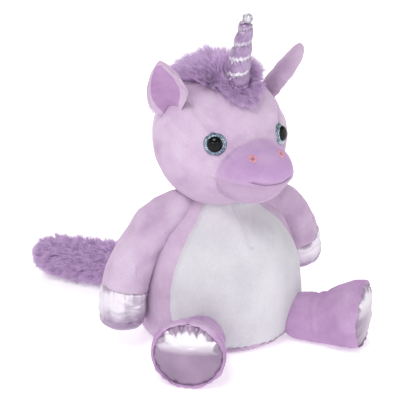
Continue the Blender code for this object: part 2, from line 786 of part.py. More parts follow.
def leg_shape():
    """(distance, half width, half height, centre height) along a leg from its pivot."""
    rise = FOOT_HALF_HEIGHT - LEG_RADIUS
    shape = []
    for share, flare in ((0.0, 0.0), (0.16, 0.0), (0.34, 0.18), (0.55, 0.55), (0.76, 0.88), (0.93, 1.0)):
        wide = LEG_RADIUS + (FOOT_HALF_WIDTH - LEG_RADIUS) * flare
        high = LEG_RADIUS + rise * flare
        shape.append((share * LEG_REACH, wide, high, high - LEG_RADIUS))
    return shape


def leg_root(inset):
    """Rings round the ball at the top of a leg, from its inner pole outwards."""
    radius = LEG_RADIUS - inset
    rings = []
    for turn in (65.0, 40.0, 18.0):
        small = radius * math.cos(math.radians(turn))
        back = -radius * math.sin(math.radians(turn))
        rings.append(leg_section(0.0, back, small, small, 0.0))
    return rings, np.array([[0.0, 0.0, -radius]])


def build_leg(word, side, plush, satin, filling):
    """One leg: plush tube with its flared foot, satin sole and filling."""
    shape = leg_shape()
    middle = shape[-1][3]
    rim = (
        leg_section(0.0, LEG_REACH * 0.985, FOOT_HALF_WIDTH * 0.97, FOOT_HALF_HEIGHT * 0.97, middle),
        leg_section(0.0, LEG_REACH, FOOT_HALF_WIDTH * 0.91, FOOT_HALF_HEIGHT * 0.91, middle),
    )
    open_width = FOOT_HALF_WIDTH * 0.86
    open_height = FOOT_HALF_HEIGHT * 0.86
    mouth = [
        leg_section(0.0, LEG_REACH - 0.001, open_width, open_height, middle),
        leg_section(0.0, LEG_REACH - PLUSH, open_width, open_height, middle),
    ]
    root_out, pole_out = leg_root(0.0)
    root_in, pole_in = leg_root(PLUSH)
    outside = root_out + [leg_section(0.0, *part) for part in shape] + list(rim)
    inside = root_in + [leg_section(PLUSH, *part) for part in shape]
    rings = outside + mouth + inside[::-1]
    origin = hip_point(side)
    direction = leg_direction(side)
    level = np.cross((0.0, 0.0, 1.0), direction)
    placed = place(rings + [pole_out, pole_in], origin, direction, level)
    cover = loft(f"leg_cover_{word}", placed[:-2], plush, ends=(placed[-2][0], placed[-1][0]))
    width = open_width - GAP
    height = open_height - GAP
    start = LEG_REACH - PLUSH
    sole = [leg_section(0.0, start, width, height, middle)]
    sole.append(leg_section(0.0, LEG_REACH - SATIN / 1.5, width, height, middle))
    for share, bulge in ((0.93, 0.45), (0.72, 0.80), (0.40, 0.96)):
        sole.append(leg_section(0.0, LEG_REACH + SOLE_BULGE * bulge, width * share, height * share, middle))
    tip = np.array([[0.0, middle, LEG_REACH + SOLE_BULGE]])
    placed = place(sole + [tip], origin, direction, level)
    loft(f"sole_{word}", placed[:-1], satin, ends=(None, placed[-1][0]))
    root, pole = leg_root(PLUSH + GAP)
    core = root + [leg_section(PLUSH + GAP, *part) for part in shape]
    last = leg_section(PLUSH + GAP, LEG_REACH - PLUSH - GAP, FOOT_HALF_WIDTH, FOOT_HALF_HEIGHT, middle)
    placed = place(core + [last * (0.8, 1.0, 1.0), pole], origin, direction, level)
    loft(f"leg_stuffing_{word}", placed[:-2], filling, ends=(placed[-1][0], None))


def tail_rings(inset):
    """Rings along the tail in the shared frame, its root ball first, and both end points."""
    direction = tail_direction()
    level = np.array([direction[1], -direction[0], 0.0])
    across, up = circle(LIMB_FACETS)
    start = tail_point()
    floor_level = TAIL_RADIUS + FLOOR_PLAY
    rings = []
    for turn in (65.0, 40.0, 18.0):
        small = (TAIL_ROOT - inset) * math.cos(math.radians(turn))
        back = -(TAIL_ROOT - inset) * math.sin(math.radians(turn))
        rings.append((back, small, TAIL_LEVEL))
    swell = TAIL_RADIUS - TAIL_ROOT
    for share, fat, drop in ((0.0, 0.0, 0.0), (0.08, 0.1, 0.1), (0.22, 0.8, 0.55), (0.42, 1.0, 0.92),
                             (0.64, 1.0, 1.0), (0.82, 0.6, 1.0)):
        radius = TAIL_ROOT + swell * fat - inset
        height = TAIL_LEVEL + (floor_level - TAIL_LEVEL) * drop
        rings.append((share * TAIL_LENGTH, radius, height))
    for share, thin in ((0.92, 0.82), (0.975, 0.52)):
        radius = TAIL_ROOT * thin - inset
        rings.append((share * TAIL_LENGTH - inset, radius, floor_level))
    placed = []
    for along, radius, height in rings:
        middle = start * (1, 1, 0) + direction * along + (0.0, 0.0, height)
        placed.append(middle + np.outer(radius * across, level) + np.outer(radius * up, (0.0, 0.0, 1.0)))
    root = start - direction * (TAIL_ROOT - inset)
    tip = start * (1, 1, 0) + direction * (TAIL_LENGTH - inset) + (0.0, 0.0, floor_level)
    return placed, root, tip


def build_tail(fur, filling):
    """The long-pile tail and its filling."""
    outside, root, tip = tail_rings(0.0)
    inside, root_in, tip_in = tail_rings(TAIL_PILE)
    cover = loft("tail_cover", outside[::-1] + inside, fur, ends=(tip, tip_in))
    core, root_core, tip_core = tail_rings(TAIL_PILE + GAP)
    loft("tail_stuffing", core, filling, ends=(root_core, tip_core))
    return cover


def joint_points():
    """Point on the joint's axis of each group of moving pieces, by the start of their names."""
    horn_pivot = horn_frame()[0]
    points = {name: NECK for name in ("neck_", "head_", "muzzle_", "chin_", "mouth_", "nostril_", "mane_", "eye_")}
    points["horn_"] = horn_pivot
    points["tail_"] = tail_point()
    for word, side in SIDES:
        foot = Vector(mirrored(EAR_BASE, side)).normalized()
        base = HEAD + np.array(foot) * (HEAD_RADIUS + EAR_CLEARANCE)
        points[f"ear_back_{word}"] = base
        points[f"ear_lining_{word}"] = base
        points[f"leg_cover_{word}"] = hip_point(side)
        points[f"leg_stuffing_{word}"] = hip_point(side)
        points[f"sole_{word}"] = hip_point(side)
    return points


def hang_on_joints():
    """Put the origin of every moving piece on the axis of its joint."""
    points = joint_points()
    for body in list(bpy.data.objects):
        for start, point in points.items():
            if body.name.startswith(start):
                pivot = Vector(point)
                body.data.transform(Matrix.Translation(-pivot))
                body.location = pivot


def give_own_materials():
    """Give every sub-part its own copy of its material."""
    for body in bpy.data.objects:
        if body.hide_render:
            continue
        material = body.data.materials[0].copy()
        material.name = f"{body.name}_{material.name.split('.')[0]}"
        body.data.materials[0] = material


def build():
    """Build the whole toy."""
    clear_scene()
    plush = make_material("lilac_plush", (0.66, 0.50, 0.70), 0.9)
    muzzle_plush = make_material("mauve_plush", (0.56, 0.38, 0.62), 0.9)
    chin_plush = make_material("pale_lilac_plush", (0.62, 0.47, 0.65), 0.9)
    belly_plush = make_material("white_plush", (0.86, 0.85, 0.88), 0.9)
    lining = make_material("pink_lilac_plush", (0.55, 0.33, 0.58), 0.9)
    fur = make_material("purple_fur", (0.36, 0.20, 0.45), 0.95)
    satin = make_material("lilac_satin", (0.60, 0.50, 0.66), 0.3)
    filling = make_material("polyester_fibre", (0.9, 0.9, 0.9), 1.0)
    thread = make_material("mauve_thread", (0.40, 0.22, 0.40), 0.7)
    nostril_thread = make_material("pink_thread", (0.80, 0.36, 0.45), 0.6)
    white_thread = make_material("silver_thread", (0.80, 0.78, 0.82), 0.4)
    iris = make_material("teal_glitter", (0.15, 0.32, 0.40), 0.3)
    pupil = make_material("black_plastic", (0.01, 0.01, 0.01), 0.1)
    washer = make_material("white_plastic", (0.8, 0.8, 0.8), 0.5)
    bead = make_material("silver_satin", (0.78, 0.76, 0.82), 0.15)
    build_torso(plush, belly_plush, filling)
    build_head(plush, muzzle_plush, chin_plush, filling)
    build_face_threads(thread, nostril_thread)
    build_eyes(iris, pupil, washer)
    build_ears(plush, lining)
    build_horn(satin, filling, white_thread, bead)
    build_mane(fur)
    for word, side in SIDES:
        build_arm(word, side, plush, satin, filling)
        build_leg(word, side, plush, satin, filling)
    build_tail(fur, filling)
    hang_on_joints()
    give_own_materials()


build()
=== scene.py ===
# %% [markdown]
# # A plush unicorn, from its imported frame to its looks
# The imported CAD model gives the frame: where each body is and how it moves. This lesson dresses it in
# short-pile plush, long fur, satin, thread and two glittered eyes; most pieces ride on their bodies, and those
# given a bend stay fixed in place.

# %% Frame
import math

import bmesh
import bpy
import numpy as np
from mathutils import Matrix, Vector
from mathutils.bvhtree import BVHTree


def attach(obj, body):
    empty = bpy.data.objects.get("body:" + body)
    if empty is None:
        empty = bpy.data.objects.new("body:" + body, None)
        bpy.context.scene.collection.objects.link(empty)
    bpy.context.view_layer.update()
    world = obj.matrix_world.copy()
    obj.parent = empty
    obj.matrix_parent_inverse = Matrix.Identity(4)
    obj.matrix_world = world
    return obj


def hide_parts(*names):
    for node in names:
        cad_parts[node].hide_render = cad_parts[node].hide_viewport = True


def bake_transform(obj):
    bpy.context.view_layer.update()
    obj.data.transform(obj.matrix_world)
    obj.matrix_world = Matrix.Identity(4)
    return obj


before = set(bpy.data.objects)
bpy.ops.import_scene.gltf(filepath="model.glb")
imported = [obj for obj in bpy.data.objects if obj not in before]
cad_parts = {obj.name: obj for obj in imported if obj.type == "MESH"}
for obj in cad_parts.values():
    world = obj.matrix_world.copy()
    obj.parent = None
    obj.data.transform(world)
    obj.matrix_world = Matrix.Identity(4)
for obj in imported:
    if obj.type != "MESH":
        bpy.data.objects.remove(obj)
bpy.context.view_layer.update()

MM = 0.001
FAR = 1e3
SCENE = bpy.context.scene
UP = np.array([0.0, 0.0, 1.0])
SIDEWAYS = np.array([1.0, 0.0, 0.0])

# %% [markdown]
# Most pieces here are surfaces on a grid: rows along the piece and columns round it. One function puts such
# a grid into a mesh, closes it round and closes its ends with a point.


# %% Surfaces from grids
def new_object(mesh):
    """Put a mesh in the scene under its own name, shaded smooth."""
    mesh.shade_smooth()
    obj = bpy.data.objects.new(mesh.name, mesh)
    SCENE.collection.objects.link(obj)
    return obj


def mesh_from_arrays(name, points, quads, tris):
    """Mesh from an array of points, an array of four-cornered faces and one of three-cornered faces."""
    loops = np.concatenate([quads.ravel(), tris.ravel()]).astype(np.int32)
    sizes = np.concatenate([np.full(len(quads), 4), np.full(len(tris), 3)]).astype(np.int32)
    starts = np.concatenate([[0], np.cumsum(sizes)[:-1]]).astype(np.int32)
    mesh = bpy.data.meshes.new(name)
    mesh.vertices.add(len(points))
    mesh.vertices.foreach_set("co", np.ascontiguousarray(points, np.float32).ravel())
    mesh.loops.add(len(loops))
    mesh.loops.foreach_set("vertex_index", loops)
    mesh.polygons.add(len(sizes))
    mesh.polygons.foreach_set("loop_start", starts)
    mesh.update(calc_edges=True)
    mesh.validate()
    return mesh


def grid_mesh(name, grid, first=None, last=None):
    """Mesh of a (rows, columns, 3) grid in millimetres, closed at each end by a point: the middle of the end row
    if none is given. An end given as False stays open."""
    rows, cols = grid.shape[:2]
    index = np.arange(rows * cols).reshape(rows, cols)
    right = np.roll(index, -1, axis=1)
    quads = np.stack([index[:-1], right[:-1], right[1:], index[1:]], axis=-1).reshape(-1, 4)
    tips, caps = [], []
    for row, tip in ((0, first), (-1, last)):
        if tip is not False:
            cap = np.stack([index[row], np.roll(index[row], -1), np.full(cols, rows * cols + len(tips))], axis=-1)
            caps.append(cap if row else cap[:, ::-1])
            tips.append(grid[row].mean(0) if tip is None else tip)
    points = np.concatenate([grid.reshape(-1, 3), np.array(tips, float)])
    mesh = mesh_from_arrays(name, points * MM, quads, np.concatenate(caps))
    skin = bmesh.new()
    skin.from_mesh(mesh)
    bmesh.ops.recalc_face_normals(skin, faces=skin.faces)
    skin.to_mesh(mesh)
    skin.free()
    return mesh


def points_of(mesh):
    """The mesh's points as an array, in millimetres."""
    co = np.empty(len(mesh.vertices) * 3, np.float32)
    mesh.vertices.foreach_get("co", co)
    return co.reshape(-1, 3).astype(float) / MM


def set_points(mesh, points):
    """Put an array of points, in millimetres, back into the mesh."""
    mesh.vertices.foreach_set("co", (points * MM).astype(np.float32).ravel())
    mesh.update()


def normals_of(mesh):
    """The mesh's point normals as an array."""
    no = np.empty(len(mesh.vertices) * 3, np.float32)
    mesh.vertex_normals.foreach_get("vector", no)
    return no.reshape(-1, 3).astype(float)


def face_heights(mesh):
    """Height of the middle of each face, in metres."""
    centres = np.empty(len(mesh.polygons) * 3, np.float32)
    mesh.polygons.foreach_get("center", centres)
    return centres.reshape(-1, 3)[:, 2]


def set_values(mesh, name, values):
    """Give each point of a mesh a named value that its material reads."""
    whole = np.zeros(len(mesh.vertices), np.float32)
    whole[: len(values)] = values
    mesh.attributes.new(name, "FLOAT", "POINT").data.foreach_set("value", whole)


def unit(vectors):
    """Vectors scaled to length one."""
    return vectors / np.maximum(np.linalg.norm(vectors, axis=-1, keepdims=True), 1e-9)


def circle(count):
    """Angles once round, evenly spaced."""
    return np.linspace(0, 2 * math.pi, count, endpoint=False)


def spin(turn, side, up):
    """Directions at angles in the plane of two directions."""
    return np.cos(turn)[..., None] * side + np.sin(turn)[..., None] * up


def bump(value, place, width):
    """Smooth bump of height one: exp(-((value - place) / width)^2)."""
    return np.exp(-((value - place) / width) ** 2)


def share_of(value):
    """A value kept between 0 and 1."""
    return np.clip(value, 0, 1)


def waves(points, size, seed=0):
    """Soft random value near -1 to 1 at each point: a sum of sine waves in random directions."""
    rng = np.random.default_rng(seed)
    total = np.zeros(points.shape[:-1])
    for _ in range(9):
        direction = unit(rng.normal(size=3))
        length = size * rng.uniform(0.6, 1.7)
        total += np.sin(points @ direction * 2 * math.pi / length + rng.uniform(0, 2 * math.pi))
    return total / 4.0


def groove(distance, depth, width):
    """How far a seam pulls the cloth in at a distance from it."""
    return -depth * np.exp(-((distance / width) ** 2))


def smooth_max(a, b, blend):
    """The larger of two values, rounded where they meet."""
    h = np.clip(0.5 + 0.5 * (a - b) / blend, 0.0, 1.0)
    return b + (a - b) * h + blend * h * (1.0 - h)


# %% Dressing
def dress(mesh, materials, body, nodes=(), bend=None):
    """Make a piece of a mesh: its materials and the CAD nodes it stands for, which are hidden. It rides on its
    body, or, where a bend is given, is fixed in place."""
    obj = new_object(mesh)
    for material in materials:
        mesh.materials.append(material)
    if not bend:
        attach(obj, body)
    if nodes:
        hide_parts(*nodes)
    if bend:
        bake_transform(obj)


# %% [markdown]
# A stuffed cover isn't a perfect solid: the filling presses it outwards and the cloth answers with slow,
# uneven swells. A short cloth simulation with pressure inside gives that form, and the finer grids are then
# laid on it.


# %% Cloth forms
CLOTH = {"quality": 5, "mass": 0.25, "tension_stiffness": 14, "compression_stiffness": 14, "shear_stiffness": 6,
         "bending_stiffness": 0.6, "use_pressure": True, "uniform_pressure_force": 4.0, "shrink_min": -0.03}
LAST_FRAME = 20


def cloth_form(name, mesh, voxel, travel):
    """A closed mesh after a short, pressed cloth simulation, each point moved no further than the travel."""
    form = bpy.data.objects.new(name + "_form", mesh.copy())
    SCENE.collection.objects.link(form)
    remesh = form.modifiers.new("Remesh", "REMESH")
    remesh.mode = "VOXEL"
    remesh.voxel_size = voxel * MM
    graph = bpy.context.evaluated_depsgraph_get()
    start = bpy.data.meshes.new_from_object(form.evaluated_get(graph))
    form.modifiers.clear()
    form.data = start
    before = points_of(start)
    cloth = form.modifiers.new("Cloth", "CLOTH")
    for key, value in CLOTH.items():
        setattr(cloth.settings, key, value)
    cloth.settings.effector_weights.gravity = 0.0
    cloth.point_cache.frame_start = 1
    cloth.point_cache.frame_end = LAST_FRAME
    for number in range(1, LAST_FRAME + 1):
        SCENE.frame_set(number)
    graph = bpy.context.evaluated_depsgraph_get()
    settled = bpy.data.meshes.new_from_object(form.evaluated_get(graph))
    move = points_of(settled) - before
    size = np.linalg.norm(move, axis=1, keepdims=True)
    move *= np.minimum(1.0, travel / np.maximum(size, 1e-6))
    form.modifiers.clear()
    set_points(start, before + move)
    SCENE.frame_set(1)
    print(name, "cloth points", len(before), "moved on average", round(float(size.mean()), 2), "mm")
    return form


def press(name, mesh, voxel, travel, share):
    """Draw a mesh on to its own cloth form by a share of the way, and give its points and normals."""
    form = cloth_form(name, mesh, voxel, travel)
    obj = bpy.data.objects.new("laying", mesh)
    SCENE.collection.objects.link(obj)
    wrap = obj.modifiers.new("Lay", "SHRINKWRAP")
    wrap.target = form
    wrap.wrap_method = "NEAREST_SURFACEPOINT"
    graph = bpy.context.evaluated_depsgraph_get()
    laid = bpy.data.meshes.new_from_object(obj.evaluated_get(graph))
    old = points_of(mesh)
    set_points(mesh, old + (points_of(laid) - old) * share)
    bpy.data.objects.remove(obj)
    bpy.data.meshes.remove(laid)
    bpy.data.objects.remove(form)
    return points_of(mesh), normals_of(mesh)


# %% [markdown]
# Materials come first, because they say what each piece is made of. Colours are written as seen on a
# screen and turned into linear light by one function. Patterns are sized from real lengths.


# %% Material tools
def linear(code):
    """Linear colour from a screen colour such as #C8A0D0."""
    parts = np.array([int(code[i : i + 2], 16) / 255.0 for i in (1, 3, 5)])
    low = parts / 12.92
    high = ((parts + 0.055) / 1.055) ** 2.4
    return (*np.where(parts <= 0.04045, low, high), 1.0)


def grey(value):
    """Neutral colour of a linear brightness."""
    return (value, value, value, 1)


def add_node(tree, kind, settings=None, links=None):
    """Add a shader node, set its properties and inputs, and link its inputs to other sockets."""
    node = tree.nodes.new("ShaderNode" + kind)
    for key, value in (settings or {}).items():
        if isinstance(key, str) and hasattr(node, key):
            setattr(node, key, value)
        else:
            node.inputs[key].default_value = value
    for key, socket in (links or {}).items():
        tree.links.new(socket, node.inputs[key])
    return node


def noise(tree, coords, scale, detail=2.0, roughness=0.5):
    """Value of a noise pattern at the object's own coordinates."""
    settings = {"Scale": scale, "Detail": detail, "Roughness": roughness}
    return add_node(tree, "TexNoise", settings, {"Vector": coords}).outputs["Fac"]


def point_value(tree, name):
    """Value that the mesh carries at each point."""
    return add_node(tree, "Attribute", {"attribute_name": name}).outputs["Fac"]


def ramp(tree, source, stops):
    """Colour ramp from (place, colour) stops."""
    node = add_node(tree, "ValToRGB", links={"Fac": source})
    elements = node.color_ramp.elements
    elements[0].position, elements[0].color = stops[0]
    elements[1].position, elements[1].color = stops[-1]
    for place, color in stops[1:-1]:
        element = elements.new(place)
        element.color = color
    return node.outputs["Color"]


def mix(tree, below, above, factor, blend="MIX"):
    """Mix of two colours; the upper one and the factor may be a socket or a constant."""
    node = add_node(tree, "Mix", {"data_type": "RGBA", "blend_type": blend})
    tree.links.new(below, node.inputs["A"])
    for key, value in (("B", above), ("Factor", factor)):
        if isinstance(value, bpy.types.NodeSocket):
            tree.links.new(value, node.inputs[key])
        else:
            node.inputs[key].default_value = value
    return node.outputs["Result"]


def start_material(name):
    """A new material, its node tree and its object coordinates."""
    material = bpy.data.materials.new(name)
    material.use_nodes = True
    tree = material.node_tree
    return material, tree, tree.nodes.new("ShaderNodeTexCoord").outputs["Object"]


def finish_shader(tree, color, settings, height=None, strength=0.0, distance=0.0):
    """Give the shader its colour, its constants and, if there is a height, its fine bump."""
    shader = tree.nodes["Principled BSDF"]
    tree.links.new(color, shader.inputs["Base Color"])
    if height is not None:
        relief = add_node(tree, "Bump", {"Strength": strength, "Distance": distance}, {"Height": height})
        tree.links.new(relief.outputs["Normal"], shader.inputs["Normal"])
    for key, value in settings.items():
        shader.inputs[key].default_value = value
    return shader


def plush_material(name, light, mid, dark, nap=1.0, tint=None):
    """Short-pile minky plush: a soft lit rim, faint swept nap and a fine fuzz."""
    material, tree, coords = start_material(name)
    both = add_node(tree, "Mix", {"data_type": "FLOAT", "Factor": 0.5})
    tree.links.new(noise(tree, coords, 38.0, 3.0, 0.55), both.inputs["A"])
    tree.links.new(noise(tree, coords, 14.0), both.inputs["B"])
    spread = 0.20 * nap
    stops = [(0.5 - spread, linear(dark)), (0.5, linear(mid)), (0.5 + spread, linear(light))]
    color = ramp(tree, both.outputs["Result"], stops)
    if tint:
        color = mix(tree, color, linear(tint), point_value(tree, "tint"))
    pile = noise(tree, coords, 900.0)
    fine = ramp(tree, pile, [(0.3, grey(0.72)), (0.6, grey(1))])
    color = mix(tree, color, fine, 0.35, "MULTIPLY")
    finish_shader(tree, color, {"Roughness": 0.92, "Specular IOR Level": 0.15, "Sheen Weight": 0.55,
                                "Sheen Roughness": 0.35, "Sheen Tint": linear(light)}, pile, 0.35, 0.0006)
    return material


def satin_material(name, light, dark, scale):
    """Polyester satin: a smooth weave with soft colour shifts, a white painted highlight where the mesh's
    painted_highlight value asks for it, and painted shade at edges that turn away.
    """
    material, tree, coords = start_material(name)
    color = ramp(tree, noise(tree, coords, scale), [(0.35, linear(dark)), (0.65, linear(light))])
    # Painted highlight: near-white mixed into the satin by each point's painted_highlight value
    color = mix(tree, color, linear("#F4F1F7"), point_value(tree, "painted_highlight"))
    # Painted shade: the satin turns to its dark colour at edges that face away from the view
    edge = add_node(tree, "LayerWeight", {"Blend": 0.2}).outputs["Facing"]
    color = mix(tree, color, linear(dark), edge)
    weave = add_node(tree, "TexWave", {"Scale": 420.0, "Distortion": 1.5}, {"Vector": coords}).outputs["Fac"]
    finish_shader(tree, color, {"Roughness": 0.27, "Metallic": 0.35, "Specular IOR Level": 0.8,
                                "Sheen Weight": 0.3}, weave, 0.08, 0.0002)
    return material


def fur_material(name, root, mid, tip):
    """Long acrylic pile with painted shade: deeper towards the roots between the strands and paler at the tips,
    darkened strand by strand by the shade value.
    """
    material, tree, _ = start_material(name)
    stops = [(0.0, linear(root)), (0.45, linear(mid)), (1.0, linear(tip))]
    color = ramp(tree, point_value(tree, "along"), stops)
    light = ramp(tree, point_value(tree, "shade"), [(0.0, grey(0.84)), (1.0, grey(1))])
    color = mix(tree, color, light, 1.0, "MULTIPLY")
    finish_shader(tree, color, {"Roughness": 0.7, "Specular IOR Level": 0.25, "Sheen Weight": 0.35})
    return material


def plain_material(name, light, dark, roughness, scale, specular=0.5):
    """A hard or threaded material with a fine variation of two close colours."""
    material, tree, coords = start_material(name)
    color = ramp(tree, noise(tree, coords, scale, 3.0), [(0.35, linear(dark)), (0.65, linear(light))])
    finish_shader(tree, color, {"Roughness": roughness, "Specular IOR Level": specular})
    return material


def glitter_material(name):
    """Glitter set in clear lacquer: cells of teal, steel and silver that catch the light singly."""
    material, tree, coords = start_material(name)
    cells = add_node(tree, "TexVoronoi", {"Scale": 1400.0}, {"Vector": coords})
    split = add_node(tree, "SeparateColor", links={"Color": cells.outputs["Color"]}).outputs
    tones = ((0.0, "#33505F"), (0.45, "#5E7C8E"), (0.8, "#8CA3B4"), (1.0, "#EEF3F6"))
    color = ramp(tree, split["Red"], [(place, linear(tone)) for place, tone in tones])
    settings = {"Metallic": 0.6, "Roughness": 0.25, "Coat Weight": 0.8, "Coat Roughness": 0.05}
    finish_shader(tree, color, settings, split["Green"], 0.6, 0.0003)
    return material


# %% Materials
# Lilac minky plush, woven base with short cut pile: pale where it leans to the light, deeper where it leans away
LILAC = plush_material("minky_plush_lilac", "#D3C1D5", "#C7B0C9", "#AE91B2")
# The same lilac plush on the legs, coloured a shade deeper as painted shade
SHADED_LEG_LILAC = plush_material("minky_plush_lilac_painted_shade", "#C4AAC8", "#B593BA", "#9D7DA5")
# The same plush in a deeper dye on the muzzle, stronger towards its middle
MAUVE = plush_material("minky_plush_mauve", "#D2BAD6", "#C4A8C9", "#AD8DB5", tint="#B592BF")
# Paler plush of the lower jaw, soft and matt
PALE = plush_material("minky_plush_pale_lilac", "#C9B2CA", "#BBA2BD", "#A387A7", tint="#B495BC")
# White minky plush of the belly panel, with almost no shift of colour
WHITE = plush_material("minky_plush_white", "#DAD8DD", "#D0CED4", "#C0BDC5", nap=1.3)
# Pink-lilac plush of the ear lining, deeper than the head round it
LINING = plush_material("minky_plush_pink_lilac", "#BC9CC0", "#AF8CB4", "#9F7BA3")
# Long-pile purple fur of the mane and tail, deeper towards the roots as painted shade and pale at the tips
FUR = fur_material("long_pile_fur_purple", "#CC9CDD", "#DAAEEA", "#EED2F7")
# Woven satin of hooves, soles and horn: mauve, with white painted highlights where a fold turns to the light
SATIN = satin_material("woven_satin_lilac", "#A892AF", "#907A98", 30.0)
# The same satin coloured deeper on the soles, as painted shade
SHADED_SOLE_SATIN = satin_material("woven_satin_sole_painted_shade", "#9A829D", "#826B87", 30.0)
HORN_SATIN = satin_material("woven_satin_horn", "#A48BAE", "#8B6F96", 90.0)
# Silvered satin of the bead and the winding thread on the horn, bright and grey
BEAD = satin_material("silvered_satin", "#F0ECF4", "#8C8694", 260.0)
# Stitching threads: matt twisted mauve on the mouth, slightly shining pink on the nostrils
THREAD = plain_material("twisted_thread_mauve", "#9D7A9C", "#866285", 0.6, 900.0)
PINK_THREAD = plain_material("embroidery_thread_pink", "#E2A6B4", "#D08FA2", 0.5, 900.0)
NOSTRIL_DARK = plain_material("embroidery_thread_rose", "#C08A9C", "#A87588", 0.6, 900.0)
# Eyes: glitter under lacquer round a glossy black moulded dome
GLITTER = glitter_material("glitter_in_lacquer_teal")
PUPIL = plain_material("moulded_plastic_black", "#0A080C", "#040305", 0.04, 300.0, specular=0.22)

# %% [markdown]
# The main sizes below repeat those of the frame, so that each skin follows the solid it dresses.

# %% Sizes in millimetres
BODY_HEIGHT, BODY_RADIUS, WIDEST, SEAT, NECK_RADIUS = 136.5, 83.0, 50.0, 62.0, 36.5
BODY_TOP = BODY_HEIGHT + 1.0
SEAT_SEAM = 8.0
BELLY_TURN = 64.5
HEAD = np.array([0.0, -3.0, 203.0])
HEAD_RADIUS = 66.0
MUZZLE = HEAD + np.array([0.0, -58.0, -17.5])
MUZZLE_SIZE = np.array([37.0, 46.0, 31.5])
MOUTH_LEVEL = MUZZLE[2] - 2.0
MOUTH_HALF = 22.0
HORN_HEIGHT, HORN_TURNS = 62.0, 4
HORN_PITCH = HORN_HEIGHT / HORN_TURNS
HORN_LEAN, HORN_PLACE = math.radians(17.3), math.radians(25.5)
HORN_AXIS = np.array([0.0, -math.sin(HORN_LEAN), math.cos(HORN_LEAN)])
HORN_FOOT = HEAD + np.array([0.0, -math.sin(HORN_PLACE), math.cos(HORN_PLACE)]) * 70.0
EAR_BASE, EAR_CHORD, EAR_TIP = (50.0, 0.0, 41.0), (-0.33, 0.87, 0.39), (77.5, 22.0, 89.0)
ARM_RADIUS, ARM_LENGTH = 23.0, 105.0
LEG_RADIUS, HIP_DISTANCE, SOLE_WIDE, SOLE_HIGH, SOLE_RISE = 24.0, 92.0, 35.7, 33.6, 9.5
TAIL_ROOT, TAIL_LENGTH, TAIL_HIGH, TAIL_LOW = 95.0, 168.0, 46.0, 25.0
SIDES = (("right", -1.0), ("left", 1.0))


# %% [markdown]
# ## Body
# The body is a pear sewn from a lilac back and sides and a white belly panel. The columns of the grid
# follow the seam between them, so the colours part exactly on the seam, which the filling pulls into a
# shallow valley with small puckers.


# %% Body skin
def body_rise(z):
    """Share of the way from the widest level to the top."""
    return share_of((z - WIDEST) / (BODY_HEIGHT - WIDEST))


def body_radius(z):
    """Pear outline: two rounded arcs that meet at the widest level."""
    low = SEAT + (BODY_RADIUS - SEAT) * np.sqrt(share_of(1 - share_of(1 - z / WIDEST) ** 2.4))
    high = NECK_RADIUS + (BODY_RADIUS - NECK_RADIUS) * (1 - body_rise(z) ** 2.3)
    return np.where(z < WIDEST, low, high)


def belly_turn(z):
    """Angle from the front at which the belly panel ends, at each height."""
    drop = share_of((WIDEST - z) / (WIDEST - SEAT_SEAM))
    low = BELLY_TURN * (1 - drop ** 2.3) ** (1 / 2.3)
    return np.where(z < WIDEST, low, BELLY_TURN - 9.5 * body_rise(z) ** 2)


def body_grid(rows=150, belly_cols=110, back_cols=190, end_rows=16):
    """Grid up the pear: columns share out the belly's arc and the rest of the circle at each height."""
    seat = np.linspace(0.0, 1.0, end_rows)[1:]
    rise = np.linspace(0.0, 1.0, rows)
    z = np.concatenate([np.zeros(len(seat)), BODY_TOP * (0.35 * rise ** 2 + 0.65 * rise)])
    radius = np.concatenate([seat * (SEAT - 2.0), body_radius(np.minimum(z[len(seat):], BODY_HEIGHT))])
    turn = np.radians(np.maximum(belly_turn(z), 3.0))[:, None]
    belly = turn * np.linspace(-1.0, 1.0, belly_cols + 1)[None, :]
    back = turn + (2 * math.pi - 2 * turn) * np.linspace(0.0, 1.0, back_cols + 1)[None, 1:-1]
    angle = np.concatenate([belly, back], axis=1)
    radius, z = radius[:, None], z[:, None]
    close = np.linspace(0.0, 1.0, end_rows)[1:-1, None] * math.pi / 2
    angle = np.concatenate([angle, np.repeat(angle[-1:], len(close), 0)])
    radius = np.concatenate([radius, NECK_RADIUS * np.cos(close)])
    z = np.concatenate([z, BODY_TOP + 14.0 * np.sin(close)])
    grid = np.stack([radius * np.sin(angle), -radius * np.cos(angle), z + 0 * angle], -1)
    return grid, belly_cols, len(seat)


def body_folds(points):
    """How far each point moves off the body's form: seams, puckers, the tuck below the chin, and swells."""
    level = points[:, 2]
    front = points[:, 1] < 0
    angle = np.degrees(np.arctan2(points[:, 0], -points[:, 1]))
    away = (np.abs(angle) - belly_turn(level)) * np.hypot(points[:, 0], points[:, 1]) * math.pi / 180
    under = np.where(level < 12.0, np.abs(level - SEAT_SEAM) + 0.35 * np.abs(angle), FAR)
    away = np.minimum(np.abs(away), under)
    pucker = np.exp(-away / 5.0) * np.sin(level / 2.6 + 2.0 * waves(points, 30.0, 3)) * 0.35
    tuck = np.abs(points[:, 0] - 0.6 * np.sin(level / 9.0)) + 3.0 * np.clip(108.0 - level, 0, 40)
    move = groove(away, 1.6, 2.2) + pucker
    move += np.where(front, groove(tuck, 1.8, 3.5), 0)
    move += groove(np.where(points[:, 1] > 0, np.abs(points[:, 0]), FAR), 1.2, 1.8)
    move += bump(level, 9.0, 6.0) * front * 0.7 * np.sin(angle * 0.9 + 2.5 * waves(points, 40.0, 5))
    move += waves(points, 60.0, 8) * 0.9 + waves(points, 22.0, 9) * 0.28
    move *= share_of(level / 2.0)
    return move + 9.0 * bump(np.abs(angle), 94.0, 30.0) * bump(level, 116.0, 20.0)


